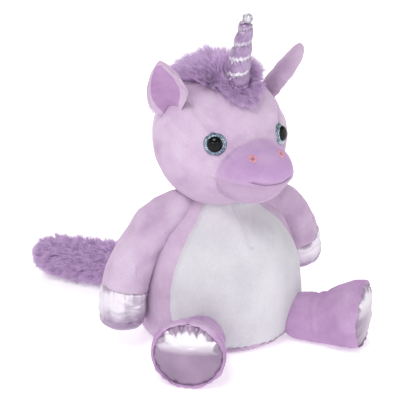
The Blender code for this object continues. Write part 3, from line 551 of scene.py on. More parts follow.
def build_body():
    """The body's skin, laid on a cloth form and pulled in along its seams."""
    grid, belly_cols, low = body_grid()
    mesh = grid_mesh("torso_skin", grid, first=(0, 0, 0), last=(0, 0, BODY_TOP + 14.0))
    points, normals = press("torso", mesh, 6.0, 2.5, 0.8)
    points = points + normals * body_folds(points)[:, None]
    points[:, 2] = np.maximum(points[:, 2], 0.0)
    set_points(mesh, points)
    face = np.arange(len(mesh.polygons))
    row, col = face // grid.shape[1], face % grid.shape[1]
    in_belly = (col < belly_cols) & (row >= low) & (row < grid.shape[0] - 1)
    in_belly &= face_heights(mesh) > (SEAT_SEAM + 0.6) * MM
    nodes = ("torso_cover", "belly_panel", "torso_stuffing", "seat_panel", "neck_stuffing")
    dress(mesh, (LILAC, WHITE), "torso", nodes)
    mesh.polygons.foreach_set("material_index", in_belly.astype(np.int32))
    print("body", len(mesh.polygons), "faces,", int(in_belly.sum()), "of them white")


build_body()


# %% [markdown]
# ## Head
# The head is a ball with a rounded muzzle. Seen from the ball's middle, every direction meets the surface
# once, so the whole skin is one grid of directions fanned out from the mouth. One ring of the grid follows the
# seam where the muzzle's deeper plush is sewn to the head.


# %% Head skin
def muzzle_reach(directions):
    """Distance from the head's middle to the far side of the muzzle's ellipsoid, zero where it is missed."""
    middle = (MUZZLE - HEAD) / MUZZLE_SIZE
    d = directions / MUZZLE_SIZE
    a = (d * d).sum(-1)
    b = -(d @ middle)
    c = middle @ middle - 1.0
    inside = b * b - a * c
    return np.where(inside > 0, (-b + np.sqrt(np.maximum(inside, 0))) / a, 0.0)


def head_surface(directions):
    """Points of the head's skin in given directions: ball and muzzle joined by a soft crease, with cheeks."""
    reach = muzzle_reach(directions)
    radius = smooth_max(np.full(reach.shape, HEAD_RADIUS), reach, 9.0)
    swell = 2.5 * bump(np.abs(directions[..., 0]), 0.62, 0.22) * bump(directions[..., 2], -0.42, 0.25)
    swell = swell * (directions[..., 1] < 0)
    points = HEAD + directions * (radius + swell)[..., None]
    front = share_of((MUZZLE[1] + 12.0 - points[..., 1]) / 30.0)
    jaw = share_of((MOUTH_LEVEL - points[..., 2]) / 5.0) * front
    lip = bump(points[..., 2], MOUTH_LEVEL + 9.0, 8.0) * front * bump(np.abs(points[..., 0]), 20.0, 13.0)
    away = points - (0.0, MUZZLE[1] + 22.0, MOUTH_LEVEL + 2.0)
    points = points - away * (0.05, 0.085, 0.0) * jaw[..., None] + unit(away) * (2.2 * lip)[..., None]
    return points * (0.98, 1.0, 1.0)


def segment_distance(points, start, end):
    """Distance from each point to a straight piece of line."""
    start, end = np.array(start, float), np.array(end, float)
    line = end - start
    share = share_of(((points - start) @ line) / (line @ line))
    return np.linalg.norm(points - start - share[:, None] * line, axis=1)


def eye_direction(sign):
    """Direction of an eye from the head's middle."""
    turn, rise = math.radians(34.5), math.radians(10.5)
    return np.array([sign * math.sin(turn) * math.cos(rise), -math.cos(turn) * math.cos(rise), math.sin(rise)])


def nostril_place(sign):
    """Middle of a nostril."""
    return np.array([sign * 16.0, -92.0, 207.0])


def mouth_line(x):
    """Height of the smiling mouth line at a distance sideways."""
    return MOUTH_LEVEL - 1.0 + 0.006 * x * x


def mouth_distance(points):
    """Distance to the mouth line on the front of the muzzle."""
    x = points[:, 0]
    away = np.abs(points[:, 2] - mouth_line(x)) + np.clip(np.abs(x) - MOUTH_HALF, 0, None)
    return np.where(points[:, 1] < MUZZLE[1], away, FAR)


# Folds of the face from the head's middle: start, end, depth and width of the valley, height and width of its banks
FACE_FOLDS = (((44, -20, 45), (39, -50, 24), 3.8, 3.0, 2.2, 8.0),
              ((61, -4, 24), (55, -32, 10), 3.8, 3.4, 2.4, 9.0),
              ((62, 4, 14), (63, -14, -4), 2.0, 3.6, 1.0, 9.0),
              ((24, -60, 16), (4, -66, 20), 1.8, 3.8, 1.0, 9.0),
              ((40, -50, -24), (30, -58, -34), 2.4, 4.2, 1.2, 9.0))
HEAD_COLS, MUZZLE_ROWS, BALL_ROWS, ROW_STEP = 260, 80, 150, 0.75


def head_grid():
    """Directions fanned out from the mouth, one ring of them on the muzzle's seam, and their points."""
    axis = unit(np.array([0.0, -106.0, -26.5]))
    up = unit(np.cross(axis, SIDEWAYS))
    phi = circle(HEAD_COLS)
    ring = spin(phi, np.cross(up, axis), up)
    tries = np.radians(np.linspace(5.0, 80.0, 300))
    beam = np.cos(tries)[:, None, None] * axis + np.sin(tries)[:, None, None] * ring[None]
    over = muzzle_reach(beam) > HEAD_RADIUS
    seam = tries[np.where(over, np.arange(len(tries))[:, None], 0).max(0)]
    seam = np.convolve(np.concatenate([seam[-6:], seam, seam[:6]]), np.ones(13) / 13, "valid")
    inner = np.linspace(0.02, 1.0, MUZZLE_ROWS)[:, None] * seam[None, :]
    outer = seam + (math.pi - 0.012 - seam) * np.linspace(0, 1, BALL_ROWS)[1:, None]
    theta = np.concatenate([inner, outer])[..., None]
    grid = head_surface(np.cos(theta) * axis + np.sin(theta) * ring[None])
    return grid, phi, head_surface(axis[None])[0], head_surface(-axis[None])[0]


def head_folds(points, seam_away, along):
    """How far each point moves off the head's form: seams, puckers, folds and the beds of eyes and nostrils."""
    local = points - HEAD
    move = groove(seam_away, 1.1, 3.0)
    move += np.exp(-seam_away / 6.0) * 0.35 * np.sin(along * 46 + 3.0 * waves(points, 30.0, 12))
    for _, sign in SIDES:
        for start, end, depth, width, bank, reach in FACE_FOLDS:
            line = segment_distance(local, (sign * start[0], *start[1:]), (sign * end[0], *end[1:]))
            move += groove(line, depth, width) - groove(line, bank, reach)
        move += groove(np.linalg.norm(local - eye_direction(sign) * HEAD_RADIUS, axis=1), 2.8, 13.0)
        move += groove(np.linalg.norm(points - nostril_place(sign), axis=1), 1.3, 5.0)
    move += groove(np.where(local[:, 1] > 0, np.abs(local[:, 0]), FAR), 1.1, 1.8)
    move += groove(mouth_distance(points), 2.8, 2.3)
    return move + (waves(points, 55.0, 14) * 0.8 + waves(points, 18.0, 15) * 0.22)


def build_head():
    """The head's skin, its colours, seams and darts; gives a tree for finding points on it."""
    grid, phi, front, back = head_grid()
    rows, cols = grid.shape[:2]
    mesh = grid_mesh("head_skin", grid, first=front, last=back)
    points, normals = press("head", mesh, 5.0, 2.0, 0.7)
    seam_row = MUZZLE_ROWS - 1
    row_away = np.repeat((seam_row - np.arange(rows)) * ROW_STEP, cols)
    seam_away = np.concatenate([np.abs(row_away), [60.0, 60.0]])
    move = head_folds(points, seam_away, np.concatenate([np.tile(phi, rows), [0, 0]]))
    set_points(mesh, points + normals * move[:, None])
    tint = np.concatenate([share_of(row_away / 16.0), [1.0, 0.0]]) ** 0.8
    tint = tint * np.clip((points[:, 2] - MOUTH_LEVEL + 3.0) / 14.0, 0.25, 1) * 0.8
    set_values(mesh, "tint", tint * share_of(0.86 + 0.25 * waves(points, 26.0, 17)))
    face = np.arange(len(mesh.polygons))
    count = (rows - 1) * cols
    on_muzzle = ((face < count) & (face // cols < seam_row)) | ((face >= count) & (face < count + cols))
    index = np.where(on_muzzle, np.where(face_heights(mesh) / MM > MOUTH_LEVEL, 1, 2), 0)
    nodes = ("head_cover", "head_stuffing", "muzzle_cover", "chin_panel")
    dress(mesh, (LILAC, MAUVE, PALE), "head", nodes)
    mesh.polygons.foreach_set("material_index", index.astype(np.int32))
    print("head", len(mesh.polygons), "faces")
    return BVHTree.FromPolygons(points_of(mesh).tolist(), [tuple(side.vertices) for side in mesh.polygons])


HEAD_TREE = build_head()


def on_head(points, lift):
    """Points cast on to the head's skin from outside, towards the middle of the muzzle, and raised off it."""
    middle = Vector(MUZZLE + (0.0, 20.0, 0.0))
    out = []
    for point, rise in zip(points, np.broadcast_to(lift, len(points))):
        way = (Vector(point) - middle).normalized()
        place, normal, _, _ = HEAD_TREE.ray_cast(middle + way * 150.0, -way)
        out.append(place + normal * float(rise))
    return np.array(out)


# %% [markdown]
# ## Face
# Each eye is a glittered ring under a domed black pupil. The nostrils are rings of satin stitch, and the mouth
# is one line of thread. All of them sit on the plush rather than in it.


# %% Turned pieces, tubes and stitches
def frame_of(direction):
    """Two directions across a given one."""
    direction = unit(np.array(direction, float))
    guess = UP if abs(direction[2]) < 0.9 else SIDEWAYS
    side = unit(np.cross(guess, direction))
    return side, np.cross(direction, side), direction


def across_path(path):
    """Two directions across a path at each of its points."""
    forward = unit(np.gradient(path, axis=0))
    side = unit(np.cross(forward, np.array([0.13, 0.21, 0.97])))
    return side, np.cross(forward, side)


def turned(name, profile, start, direction, cols=64):
    """Surface of revolution from (radius, distance) pairs along a direction."""
    side, up, forward = frame_of(direction)
    profile = np.array(profile, float)
    ring = spin(circle(cols), side, up)
    grid = start + profile[:, 0, None, None] * ring[None] + profile[:, 1, None, None] * forward
    return grid_mesh(name, grid, first=start + forward * profile[0, 1], last=start + forward * profile[-1, 1])


def tube_mesh(name, path, radius, cols):
    """Tube along a path."""
    path = np.array(path, float)
    side, up = across_path(path)
    turn = circle(cols)[:, None]
    grid = path[:, None] + radius * (np.cos(turn) * side[:, None] + np.sin(turn) * up[:, None])
    return grid_mesh(name, grid, first=path[0], last=path[-1])


def joined(name, meshes):
    """One mesh from several."""
    skin = bmesh.new()
    for mesh in meshes:
        skin.from_mesh(mesh)
    whole = bpy.data.meshes.new(name)
    skin.to_mesh(whole)
    skin.free()
    return whole


def twisted_thread(name, path, radius, pitch, cols=8):
    """Two strands twisted round each other along a path."""
    path = np.array(path, float)
    travel = np.concatenate([[0], np.cumsum(np.linalg.norm(np.diff(path, axis=0), axis=1))])
    fine = np.linspace(0, travel[-1], max(24, int(travel[-1] / pitch * 8)))
    line = np.stack([np.interp(fine, travel, path[:, k]) for k in range(3)], -1)
    side, up = across_path(line)
    meshes = []
    for half in (0.0, math.pi):
        turn = (fine / pitch * 2 * math.pi + half)[:, None]
        strand = line + radius * 0.55 * (np.cos(turn) * side + np.sin(turn) * up)
        meshes.append(tube_mesh(name + "_strand", strand, radius * 0.62, cols))
    return joined(name, meshes)


# %% Eyes, nostrils and mouth
def build_eye(word, sign):
    """Glittered ring and domed pupil of an eye, and the white plastic of its washer."""
    outward = eye_direction(sign)
    start = HEAD + outward * (HEAD_RADIUS - 1.2)
    ring = [(10.9, -1.5), (11.3, 0.0)]
    ring += [(11.3 - 3.9 * t, 0.2 + 3.4 * math.sin(t * math.pi / 2)) for t in np.linspace(0, 1, 14)]
    ring += [(7.3, 3.0), (7.1, 1.0)]
    mesh = turned(f"eye_ring_{word}", ring, start, outward)
    dress(mesh, (GLITTER,), "head", (f"eye_iris_{word}",))
    dome = [(7.6, 0.6), (7.75, 2.6)]
    dome += [(7.7 * math.cos(a), 3.3 + 4.0 * math.sin(a)) for a in np.linspace(0, math.pi / 2 - 0.03, 16)]
    mesh = turned(f"eye_dome_{word}", dome, start, outward)
    dress(mesh, (PUPIL,), "head", (f"eye_pupil_{word}",))
    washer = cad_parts[f"eye_washer_{word}"]
    washer.data.materials.clear()
    white = plain_material("moulded_plastic_white_" + word, "#E8E8E8", "#D8D8D8", 0.4, 200.0)
    washer.data.materials.append(white)


def build_nostril(word, sign):
    """A ring of satin stitches round a darker middle."""
    middle = nostril_place(sign)
    side, up, _ = frame_of(unit(middle - MUZZLE - (0.0, 20.0, 0.0)))
    meshes = []
    for angle in circle(34):
        across = math.cos(angle) * side + math.sin(angle) * up
        path = on_head(middle + np.array([1.7, 2.5, 3.4, 4.3])[:, None] * across, [-0.5, 0.55, 0.55, -0.5])
        meshes.append(tube_mesh("stitch", path, 0.38, 6))
    ring = joined(f"nostril_ring_{word}", meshes)
    dress(ring, (PINK_THREAD,), "head", (f"nostril_{word}",))
    spokes = []
    for height in np.linspace(-1.6, 1.6, 6):
        half = math.sqrt(3.6 - height ** 2)
        across = np.linspace(-half, half, 5)[:, None] * side + height * up
        spokes.append(tube_mesh("stitch", on_head(middle + across, 0.05), 0.36, 6))
    dress(joined(f"nostril_fill_{word}", spokes), (NOSTRIL_DARK,), "head")


def build_mouth():
    """A twisted thread lying in the crease of the mouth."""
    x = np.linspace(-MOUTH_HALF, MOUTH_HALF, 40)
    path = on_head(np.stack([x, np.full(len(x), -100.0), mouth_line(x)], -1), 0.25)
    dress(twisted_thread("mouth_thread", path, 0.31, 1.7), (THREAD,), "head", ("mouth_stitch",))


for word, sign in SIDES:
    build_eye(word, sign)
    build_nostril(word, sign)
build_mouth()
print("face pieces made")


# %% [markdown]
# ## Ears
# Each ear is a leaf of head plush with a deeper lining inside. The leaf is cupped along its length and
# drawn together where it is sewn to the head.


# %% Ears
def side_triple(values, sign):
    """(sideways, forward, up) turned into the frame for one side."""
    return np.array([sign * values[0], -values[1], values[2]])


def ear_rise(sign):
    """From the middle of an ear's base to its tip."""
    return side_triple(EAR_TIP, sign) - side_triple(EAR_BASE, sign)


def ear_leaf(sign, length, across, depth):
    """Point on the leaf at shares of its length and half width, at a depth towards its open side."""
    chord = unit(side_triple(EAR_CHORD, sign))
    rise = ear_rise(sign)
    outward = -unit(np.cross(chord, rise) * sign)
    narrow = share_of(1 - length ** 4.5) ** 0.6
    neck = 0.72 + 0.28 * np.sin(share_of(length / 0.5) * math.pi / 2)
    half = 20.0 * narrow * neck * (1 + 0.42 * np.sin(math.pi * np.minimum(1, length * 1.08)))
    foot = side_triple(EAR_BASE, sign) + chord * (across * half)[..., None]
    foot = unit(foot) * (HEAD_RADIUS + 0.6)
    curl = 12.0 * across ** 2 * (0.15 + 0.85 * narrow ** 1.5)
    fold = 2.2 * bump(across, -0.25, 0.22) * (1 - length)
    return HEAD + foot + rise * length[..., None] + outward * (curl - fold + depth)[..., None]


def build_ear(word, sign, rows=60, cols=64):
    """A closed, soft-edged and padded leaf; its open side is lined, its back and rim are head plush."""
    turn = circle(cols)[None, :]
    front = np.sin(turn) > 0
    length = np.linspace(-0.10, 0.995, rows)[:, None]
    across = np.cos(turn) + 0 * length
    thick = 5.0 * np.sin(turn) * share_of(1.02 - np.abs(length) ** 5) ** 0.5
    grid = ear_leaf(sign, share_of(length + 0 * turn), across, thick)
    grid = grid + ear_rise(sign) * np.minimum(length, 0)[..., None]
    hem = groove((np.abs(across) - 0.86) * 20.0, 0.7, 1.6) * front
    wrinkle = (0.6 * waves(grid, 16.0, 21) + hem) * np.where(front, sign, -sign)
    outward = unit(np.cross(np.gradient(grid, axis=1), ear_rise(sign)))
    mesh = grid_mesh(f"ear_skin_{word}", grid + outward * wrinkle[..., None])
    face = np.arange(len(mesh.polygons))
    lined = (np.sin(turn[0]) > 0.74)[face % cols] & (face < (rows - 3) * cols)
    nodes = (f"ear_back_{word}", f"ear_lining_{word}")
    dress(mesh, (LILAC, LINING), f"ear_{word}", nodes)
    mesh.polygons.foreach_set("material_index", lined.astype(np.int32))


for word, sign in SIDES:
    build_ear(word, sign)
print("ears made")


# %% [markdown]
# ## Horn
# The horn is a satin cone drawn in by one winding of thread, so that it swells into puffy turns with small
# gathers beside the thread.


# %% Horn
def winding_phase(h, turn):
    """Share of a pitch between a point of the horn and the thread, from -0.5 to 0.5."""
    return (h / HORN_PITCH - turn / (2 * math.pi) + 0.5) % 1.0 - 0.5


def horn_point(h, turn, lift=0.0, pleats=True):
    """Point of the horn's satin: a cone, drawn in along the winding and gathered beside it."""
    phase = winding_phase(h, turn)
    cone = 13.2 - 6.6 * h / HORN_HEIGHT
    swell = -0.55 * np.cos(phase * 2 * math.pi)
    gathers = np.exp(-np.abs(phase) / 0.17) * (0.6 * np.sin(turn * 13 + h) + 0.35 * np.sin(turn * 21 + 2))
    r = cone + swell - bump(phase, 0.0, 0.09) + (gathers if pleats else 0.0) + lift
    ring = spin(turn, SIDEWAYS, np.cross(HORN_AXIS, SIDEWAYS))
    return HORN_FOOT + HORN_AXIS * h[..., None] + ring * r[..., None]


def build_horn():
    """Satin cone, winding thread and the bead at the end."""
    turn = circle(120)[None, :]
    h = np.linspace(-3.0, HORN_HEIGHT + 0.5, 230)[:, None]
    grid = horn_point(h + 0 * turn, turn + 0 * h)
    mesh = grid_mesh("horn_skin", grid, HORN_FOOT - HORN_AXIS * 4, HORN_FOOT + HORN_AXIS * (HORN_HEIGHT + 2))
    # Painted highlight: bright bands with zigzag edges just above each turn of the thread, fainter towards the tip
    zigzag = 0.10 * np.abs(((turn * 9 / (2 * math.pi)) % 1.0) * 2 - 1) + 0.03 * np.sin(turn * 17)
    painted_highlight = share_of(1.6 - np.abs(winding_phase(h, turn) - 0.14 - zigzag) / 0.13)
    painted_highlight = painted_highlight * np.clip(1.35 - h / 50.0, 0.15, 1)
    set_values(mesh, "painted_highlight", painted_highlight.ravel())
    dress(mesh, (HORN_SATIN,), "horn", ("horn_cover", "horn_stuffing"))
    k = np.linspace(0.0, HORN_TURNS - 0.3, 260)
    path = horn_point(k * HORN_PITCH + 1.0, k * 2 * math.pi + 0.4, lift=0.1, pleats=False)
    mesh = twisted_thread("horn_winding", path, 0.3, 1.3, 6)
    dress(mesh, (BEAD,), "horn", ("horn_thread",))
    a = np.linspace(0.12, math.pi - 0.12, 40)[:, None]
    ripple = 0.35 * np.sin(turn * 7 + 4 * np.cos(a)) * np.sin(a)
    centre = HORN_FOOT + HORN_AXIS * 68.4
    side, up, forward = frame_of(HORN_AXIS)
    ring = spin(turn, side, up) * (4.9 * np.sin(a) + ripple)[..., None]
    grid = centre + ring - forward * (5.0 * np.cos(a))[..., None]
    mesh = grid_mesh("horn_bead", grid, first=centre - forward * 5.0, last=centre + forward * 5.0)
    dress(mesh, (BEAD,), "horn", ("horn_tip",))


build_horn()
print("horn made")


# %% [markdown]
# ## Arms and legs
# A limb is a plush tube whose round root disappears into the body. Its cloth is sewn to the body; the tube
# stays fixed in place while its hoof or sole rides on the limb's body.

# %% Arms
ARM_ROOT_ROWS, ARM_ROWS, CUFF_ROW = 20, 161, 126
ROOT_INWARD, ROOT_RISE, TOP_RADIUS = 46.0, 17.0, 19.8
HOOF_RADIUS, HOOF_END = 23.4, 14.0


def bezier(corners, t):
    """Points of a four-cornered curve."""
    t = t[:, None]
    c = np.array(corners, float)
    return (1 - t) ** 3 * c[0] + 3 * t * (1 - t) ** 2 * c[1] + 3 * t * t * (1 - t) * c[2] + t ** 3 * c[3]


def arm_turn(sign):
    """Turn of an arm at its pivot: the left one is raised a little and lies a little further back."""
    if sign < 0:
        return np.eye(3)
    (cx, sx), (cy, sy) = [(math.cos(math.radians(a)), math.sin(math.radians(a))) for a in (24.0, -21.0)]
    return np.array([[1, 0, 0], [0, cx, -sx], [0, sx, cx]]) @ np.array([[cy, 0, sy], [0, 1, 0], [-sy, 0, cy]])


def arm_line(sign):
    """Centre line of an arm about its pivot, as (outward, up) pairs, with its root inside the shoulder."""
    reach = 35.0 if sign < 0 else 16.0
    drop = ARM_LENGTH - ARM_RADIUS * 0.8
    corners = [(0, 0), (0.40 * reach, -0.24 * drop), (0.94 * reach, -0.46 * drop), (reach, -drop)]
    line = bezier(corners, np.linspace(0, 1, ARM_ROWS))
    inward = np.linspace(1.0, 0.05, ARM_ROOT_ROWS)
    root = np.stack([-ROOT_INWARD * inward, ROOT_RISE * np.sin(inward * math.pi / 2)], -1)
    return np.concatenate([root, line]), inward


def limb_grid(line, forward, depth, radius, cols, sign):
    """Tube of changing radius about a flat centre line, widened by a share in depth."""
    turn = circle(cols)
    normal = np.stack([-forward[:, 1], forward[:, 0]], -1)
    flat = line[:, None] + radius[:, None, None] * np.cos(turn)[None, :, None] * normal[:, None]
    return np.stack([sign * flat[..., 0], radius[:, None] * np.sin(turn)[None] * depth, flat[..., 1]], -1)


def arm_grid(line, forward, inward, sign):
    """Sleeve of an arm, slimmer towards the shoulder, with its end folded in under the hoof's cuff."""
    upper = share_of((ARM_ROWS - 60 - np.arange(ARM_ROWS)) / (len(line) - 80))
    top = TOP_RADIUS * np.sqrt(np.clip(1 - inward ** 3, 0.05, 1))
    radius = np.concatenate([top, ARM_RADIUS - 3.2 * upper ** 0.8])
    depth = np.concatenate([1.0 - 0.30 * inward, np.ones(ARM_ROWS)])
    sleeve = slice(0, ARM_ROOT_ROWS + CUFF_ROW + 1)
    grid = limb_grid(line[sleeve], forward[sleeve], depth[sleeve, None], radius[sleeve], 110, sign)
    close = grid[-1:].mean(1, keepdims=True)
    fold = ((0.985, -0.6), (0.93, 0.2), (0.80, 1.0))
    ends = [close + (grid[-1:] - close) * size + UP * rise for size, rise in fold]
    return np.concatenate([grid] + ends)


def build_arm(word, sign):
    """Plush sleeve and satin hoof of one arm."""
    pivot = np.array([sign * 74.0, 0.0, 124.0])
    line, inward = arm_line(sign)
    forward = unit(np.gradient(line, axis=0))
    mesh = grid_mesh(f"arm_skin_{word}", arm_grid(line, forward, inward, sign))
    points, normals = press(f"arm_{word}", mesh, 4.5, 1.6, 0.6)
    out, back, level = points[:, 0] * sign, points[:, 1], points[:, 2]
    inner_seam = np.abs(back) + np.where((out < 20) & (level < 0), 0, FAR)
    outer_seam = np.abs(back) + np.where(out > 36, 0, FAR)
    move = groove(inner_seam, 1.0, 1.8) + groove(outer_seam, 0.9, 1.8)
    move += waves(points, 34.0, 31) * 0.9 + waves(points, 14.0, 32) * 0.25
    move += np.where(out < 30, groove(level + 26.0 + 0.35 * out, 1.6, 5.0), 0)
    edge = level - level.min()
    move += groove(edge, 1.2, 3.0) + np.exp(-edge / 5.0) * 0.4 * np.sin(np.arctan2(back, out - 35) * 17)
    set_points(mesh, (points + normals * move[:, None]) @ arm_turn(sign).T + pivot)
    nodes = (f"arm_cover_{word}", f"arm_stuffing_{word}")
    bend = (pivot - np.array([sign * 12.0, 0, -5]), pivot + np.array([sign * 14.0, 0, -10]))
    dress(mesh, (LILAC,), f"arm_{word}", nodes, bend)
    build_hoof(word, sign, pivot, line, forward)


def build_hoof(word, sign, pivot, line, forward):
    """Satin end of one arm: gathered at the cuff, wrinkled over the round end, with a painted highlight over its
    upper part.
    """
    cuff = ARM_ROOT_ROWS + CUFF_ROW - 1
    tube = line[cuff:]
    end = tube[-1]
    steps = np.linspace(0, 1, 44)[1:-1] * math.pi / 2
    cap = end + np.stack([0 * steps, -HOOF_END * np.sin(steps)], -1)
    ahead = np.concatenate([forward[cuff:], np.repeat(forward[-1:], len(cap), 0)])
    radius = np.concatenate([np.full(len(tube), HOOF_RADIUS), HOOF_RADIUS * np.cos(steps) ** 0.62])
    radius[:4] = (20.5, 22.2, 23.0, 23.3)
    grid = limb_grid(np.concatenate([tube, cap]), ahead, 1.0, radius, 140, sign)
    mesh = grid_mesh(f"hoof_skin_{word}", grid, last=(sign * end[0], 0.0, end[1] - HOOF_END))
    points, normals = points_of(mesh), normals_of(mesh)
    turn = np.arctan2(points[:, 1], points[:, 0] * sign - 35)
    fall = points[:, 2].max() - points[:, 2]
    warp = 1.6 * waves(points, 40.0, 41)
    move = np.exp(-fall / 9.0) * (0.7 * np.sin(turn * 19 + warp) + 0.4 * np.sin(turn * 31))
    move += 1.1 * bump(fall, 15 + 3 * warp, 2.2) * np.cos(turn - 1.2)
    move += groove(fall - 26 - 5 * np.sin(turn * 2 + warp), 1.5, 2.6)
    move += groove(fall - 33 + 4 * np.sin(turn * 3), 1.0, 2.0) + waves(points, 17.0, 42) * 0.5
    set_points(mesh, (points + normals * move[:, None]) @ arm_turn(sign).T + pivot)
    # Painted highlight: white over the upper part of the hoof with a streaky lower edge, a little stronger on one
    # side
    streak = 2.5 * np.sin(turn * 3 + warp) + 1.2 * np.sin(turn * 11 + 2 * warp)
    painted_highlight = share_of((33.0 + streak - fall) / 15.0) ** 0.8 * np.clip((fall + streak) / 4.0, 0.3, 1)
    set_values(mesh, "painted_highlight", painted_highlight * (0.85 + 0.15 * np.cos(turn - 2.6)))
    dress(mesh, (SATIN,), f"arm_{word}", (f"hoof_{word}",))


for word, sign in SIDES:
    build_arm(word, sign)
print("arms made")


# %% Legs
def leg_frame(sign):
    """Pivot, direction, sideways and up directions of a leg."""
    splay = math.radians(41.0)
    direction = np.array([sign * math.sin(splay), -math.cos(splay), 0.0])
    return direction * HIP_DISTANCE + UP * (LEG_RADIUS + 0.5), direction, np.cross(UP, direction), UP


def leg_points(along, turn, sign, shrink=1.0):
    """Points of a leg's skin at distances from the pivot and angles round it, flared towards the foot."""
    pivot, direction, side, up = leg_frame(sign)
    flare = np.interp(along, [-30, 8, 21, 34, 47, 58, 64], [0, 0, 0.20, 0.58, 0.90, 1.02, 0.98])
    root = np.sqrt(np.clip(1 - (np.minimum(along, 0) / (LEG_RADIUS + 0.5)) ** 2, 0.04, 1))
    wide, high = (LEG_RADIUS + 11.7 * flare) * root, (LEG_RADIUS + 9.6 * flare) * root
    across = (wide * shrink * np.cos(turn))[..., None] * side
    height = (high * shrink * np.sin(turn) + SOLE_RISE * flare)[..., None] * up
    return pivot + direction * along[..., None] + across + height


# The edge of the foot turns in towards the sole: distances from the pivot and shares of the width
FOOT_RIM = ((61.4, 0.99), (62.2, 0.975), (62.4, 0.955), (61.8, 0.938), (60.2, 0.925), (57.5, 0.915))


def build_leg(word, sign):
    """Plush leg and satin sole."""
    turn = circle(132)[None, :]
    along = np.linspace(-22.0, 60.0, 104)[:, None]
    tube = leg_points(along + 0 * turn, turn + 0 * along, sign)
    rim = [leg_points(np.full(turn.shape, place), turn, sign, share) for place, share in FOOT_RIM]
    mesh = grid_mesh(f"leg_skin_{word}", np.concatenate([tube] + rim))
    points, normals = press(f"leg_{word}", mesh, 4.5, 1.4, 0.5)
    pivot, direction, side, up = leg_frame(sign)
    reach, wide, high = ((points - pivot) @ way for way in (direction, side, up))
    move = waves(points, 34.0, 51) * 0.9 + waves(points, 13.0, 52) * 0.25
    move += groove(np.abs(wide) + np.where(high > 12, 0, FAR), 0.9, 1.7)
    angle = np.arctan2(high - 9, wide)
    move += np.exp(-np.abs(reach - 62.5) / 4.0) * 0.45 * np.sin(angle * 23 + 2 * waves(points, 25, 53))
    for place, depth in ((10.0, 1.8), (19.0, 1.2)):
        move += groove(reach - place - 3 * np.sin(angle * 2), depth, 3.2) * (high > -5)
    points = points + normals * move[:, None]
    points[:, 2] = np.maximum(points[:, 2], 0.2)
    set_points(mesh, points)
    nodes = (f"leg_cover_{word}", f"leg_stuffing_{word}")
    bend = (pivot - direction * 14, pivot + direction * 12)
    # The legs take the lilac plush coloured deeper as painted shade
    dress(mesh, (SHADED_LEG_LILAC,), f"leg_{word}", nodes, bend)
    build_sole(word, sign)


def build_sole(word, sign):
    """Domed satin sole, gathered along its top edge, with a white painted highlight over its upper half; its satin
    is coloured deeper as painted shade.
    """
    turn = circle(150)[None, :]
    share = np.linspace(1.0, 0.03, 46)[:, None]
    level, sideways = share * np.sin(turn), share * np.cos(turn)
    along = 58.5 + 7.6 * (1 - share ** 2.2) ** 0.75 + 0 * turn
    pleat = share_of((share - 0.55) / 0.45) ** 1.5 * (0.35 + 0.65 * share_of(np.sin(turn) + 0.3))
    wave = np.sin(turn * 14 + 1.3 * np.sin(turn * 3)) + 0.6 * np.sin(turn * 27 + 1.0)
    fold = 1.5 * pleat * wave + 0.9 * bump(level, 0.28 + 0.06 * np.sin(turn * 2 + 5 * share), 0.09)
    pivot, direction, side, up = leg_frame(sign)
    wide, high = SOLE_WIDE * 0.94, SOLE_HIGH * 0.94

    def ring(place, size):
        """Ring of the sole at distances from the pivot and shares of its size."""
        return (pivot + direction * place[..., None] + (wide * size * np.cos(turn))[..., None] * side
                + (high * size * np.sin(turn) + SOLE_RISE)[..., None] * up)

    under = [ring(np.full((1, 1), place), size) for place, size in ((56.0, 0.5), (56.5, 0.95))]
    middle = pivot + up * SOLE_RISE
    grid = np.concatenate(under + [ring(along + fold, share)])
    mesh = grid_mesh(f"sole_skin_{word}", grid, middle + direction * 56.0, middle + direction * 66.2)
    # Painted highlight: a white band with a ragged edge over the upper half of the sole, weaker in scallops at its
    # rim
    ragged = 0.045 * np.sin(sideways * 31 + 4 * level) + 0.04 * np.sin(sideways * 13 + 2.0)
    band = share_of((level - 0.08) / 0.36) * 0.95
    band = band * share_of((0.80 + 1.6 * ragged - level - 0.25 * sideways ** 2) / 0.09)
    scallop = share_of((share - 0.80 - 0.06 * np.sin(turn * 14)) / 0.05)
    painted_highlight = np.concatenate([np.zeros((len(under), turn.size)), 0.86 * band * (1 - 0.8 * scallop)])
    set_values(mesh, "painted_highlight", painted_highlight.ravel())
    # The sole takes the same satin coloured deeper, as painted shade
    dress(mesh, (SHADED_SOLE_SATIN,), f"leg_{word}", (f"sole_{word}",))


for word, sign in SIDES:
    build_leg(word, sign)
print("legs made")


# %% [markdown]
# ## Fur
# Long pile is thousands of thin tapered strands. They stand in tufts: each strand leans towards the nearest of
# a few hundred tuft points, and gravity and the comb lay them over. A furry core under them hides the backing.

# %% Strands
LEVELS = np.array([0.0, 0.42, 0.78, 1.0])
STRAND_POINTS = 10


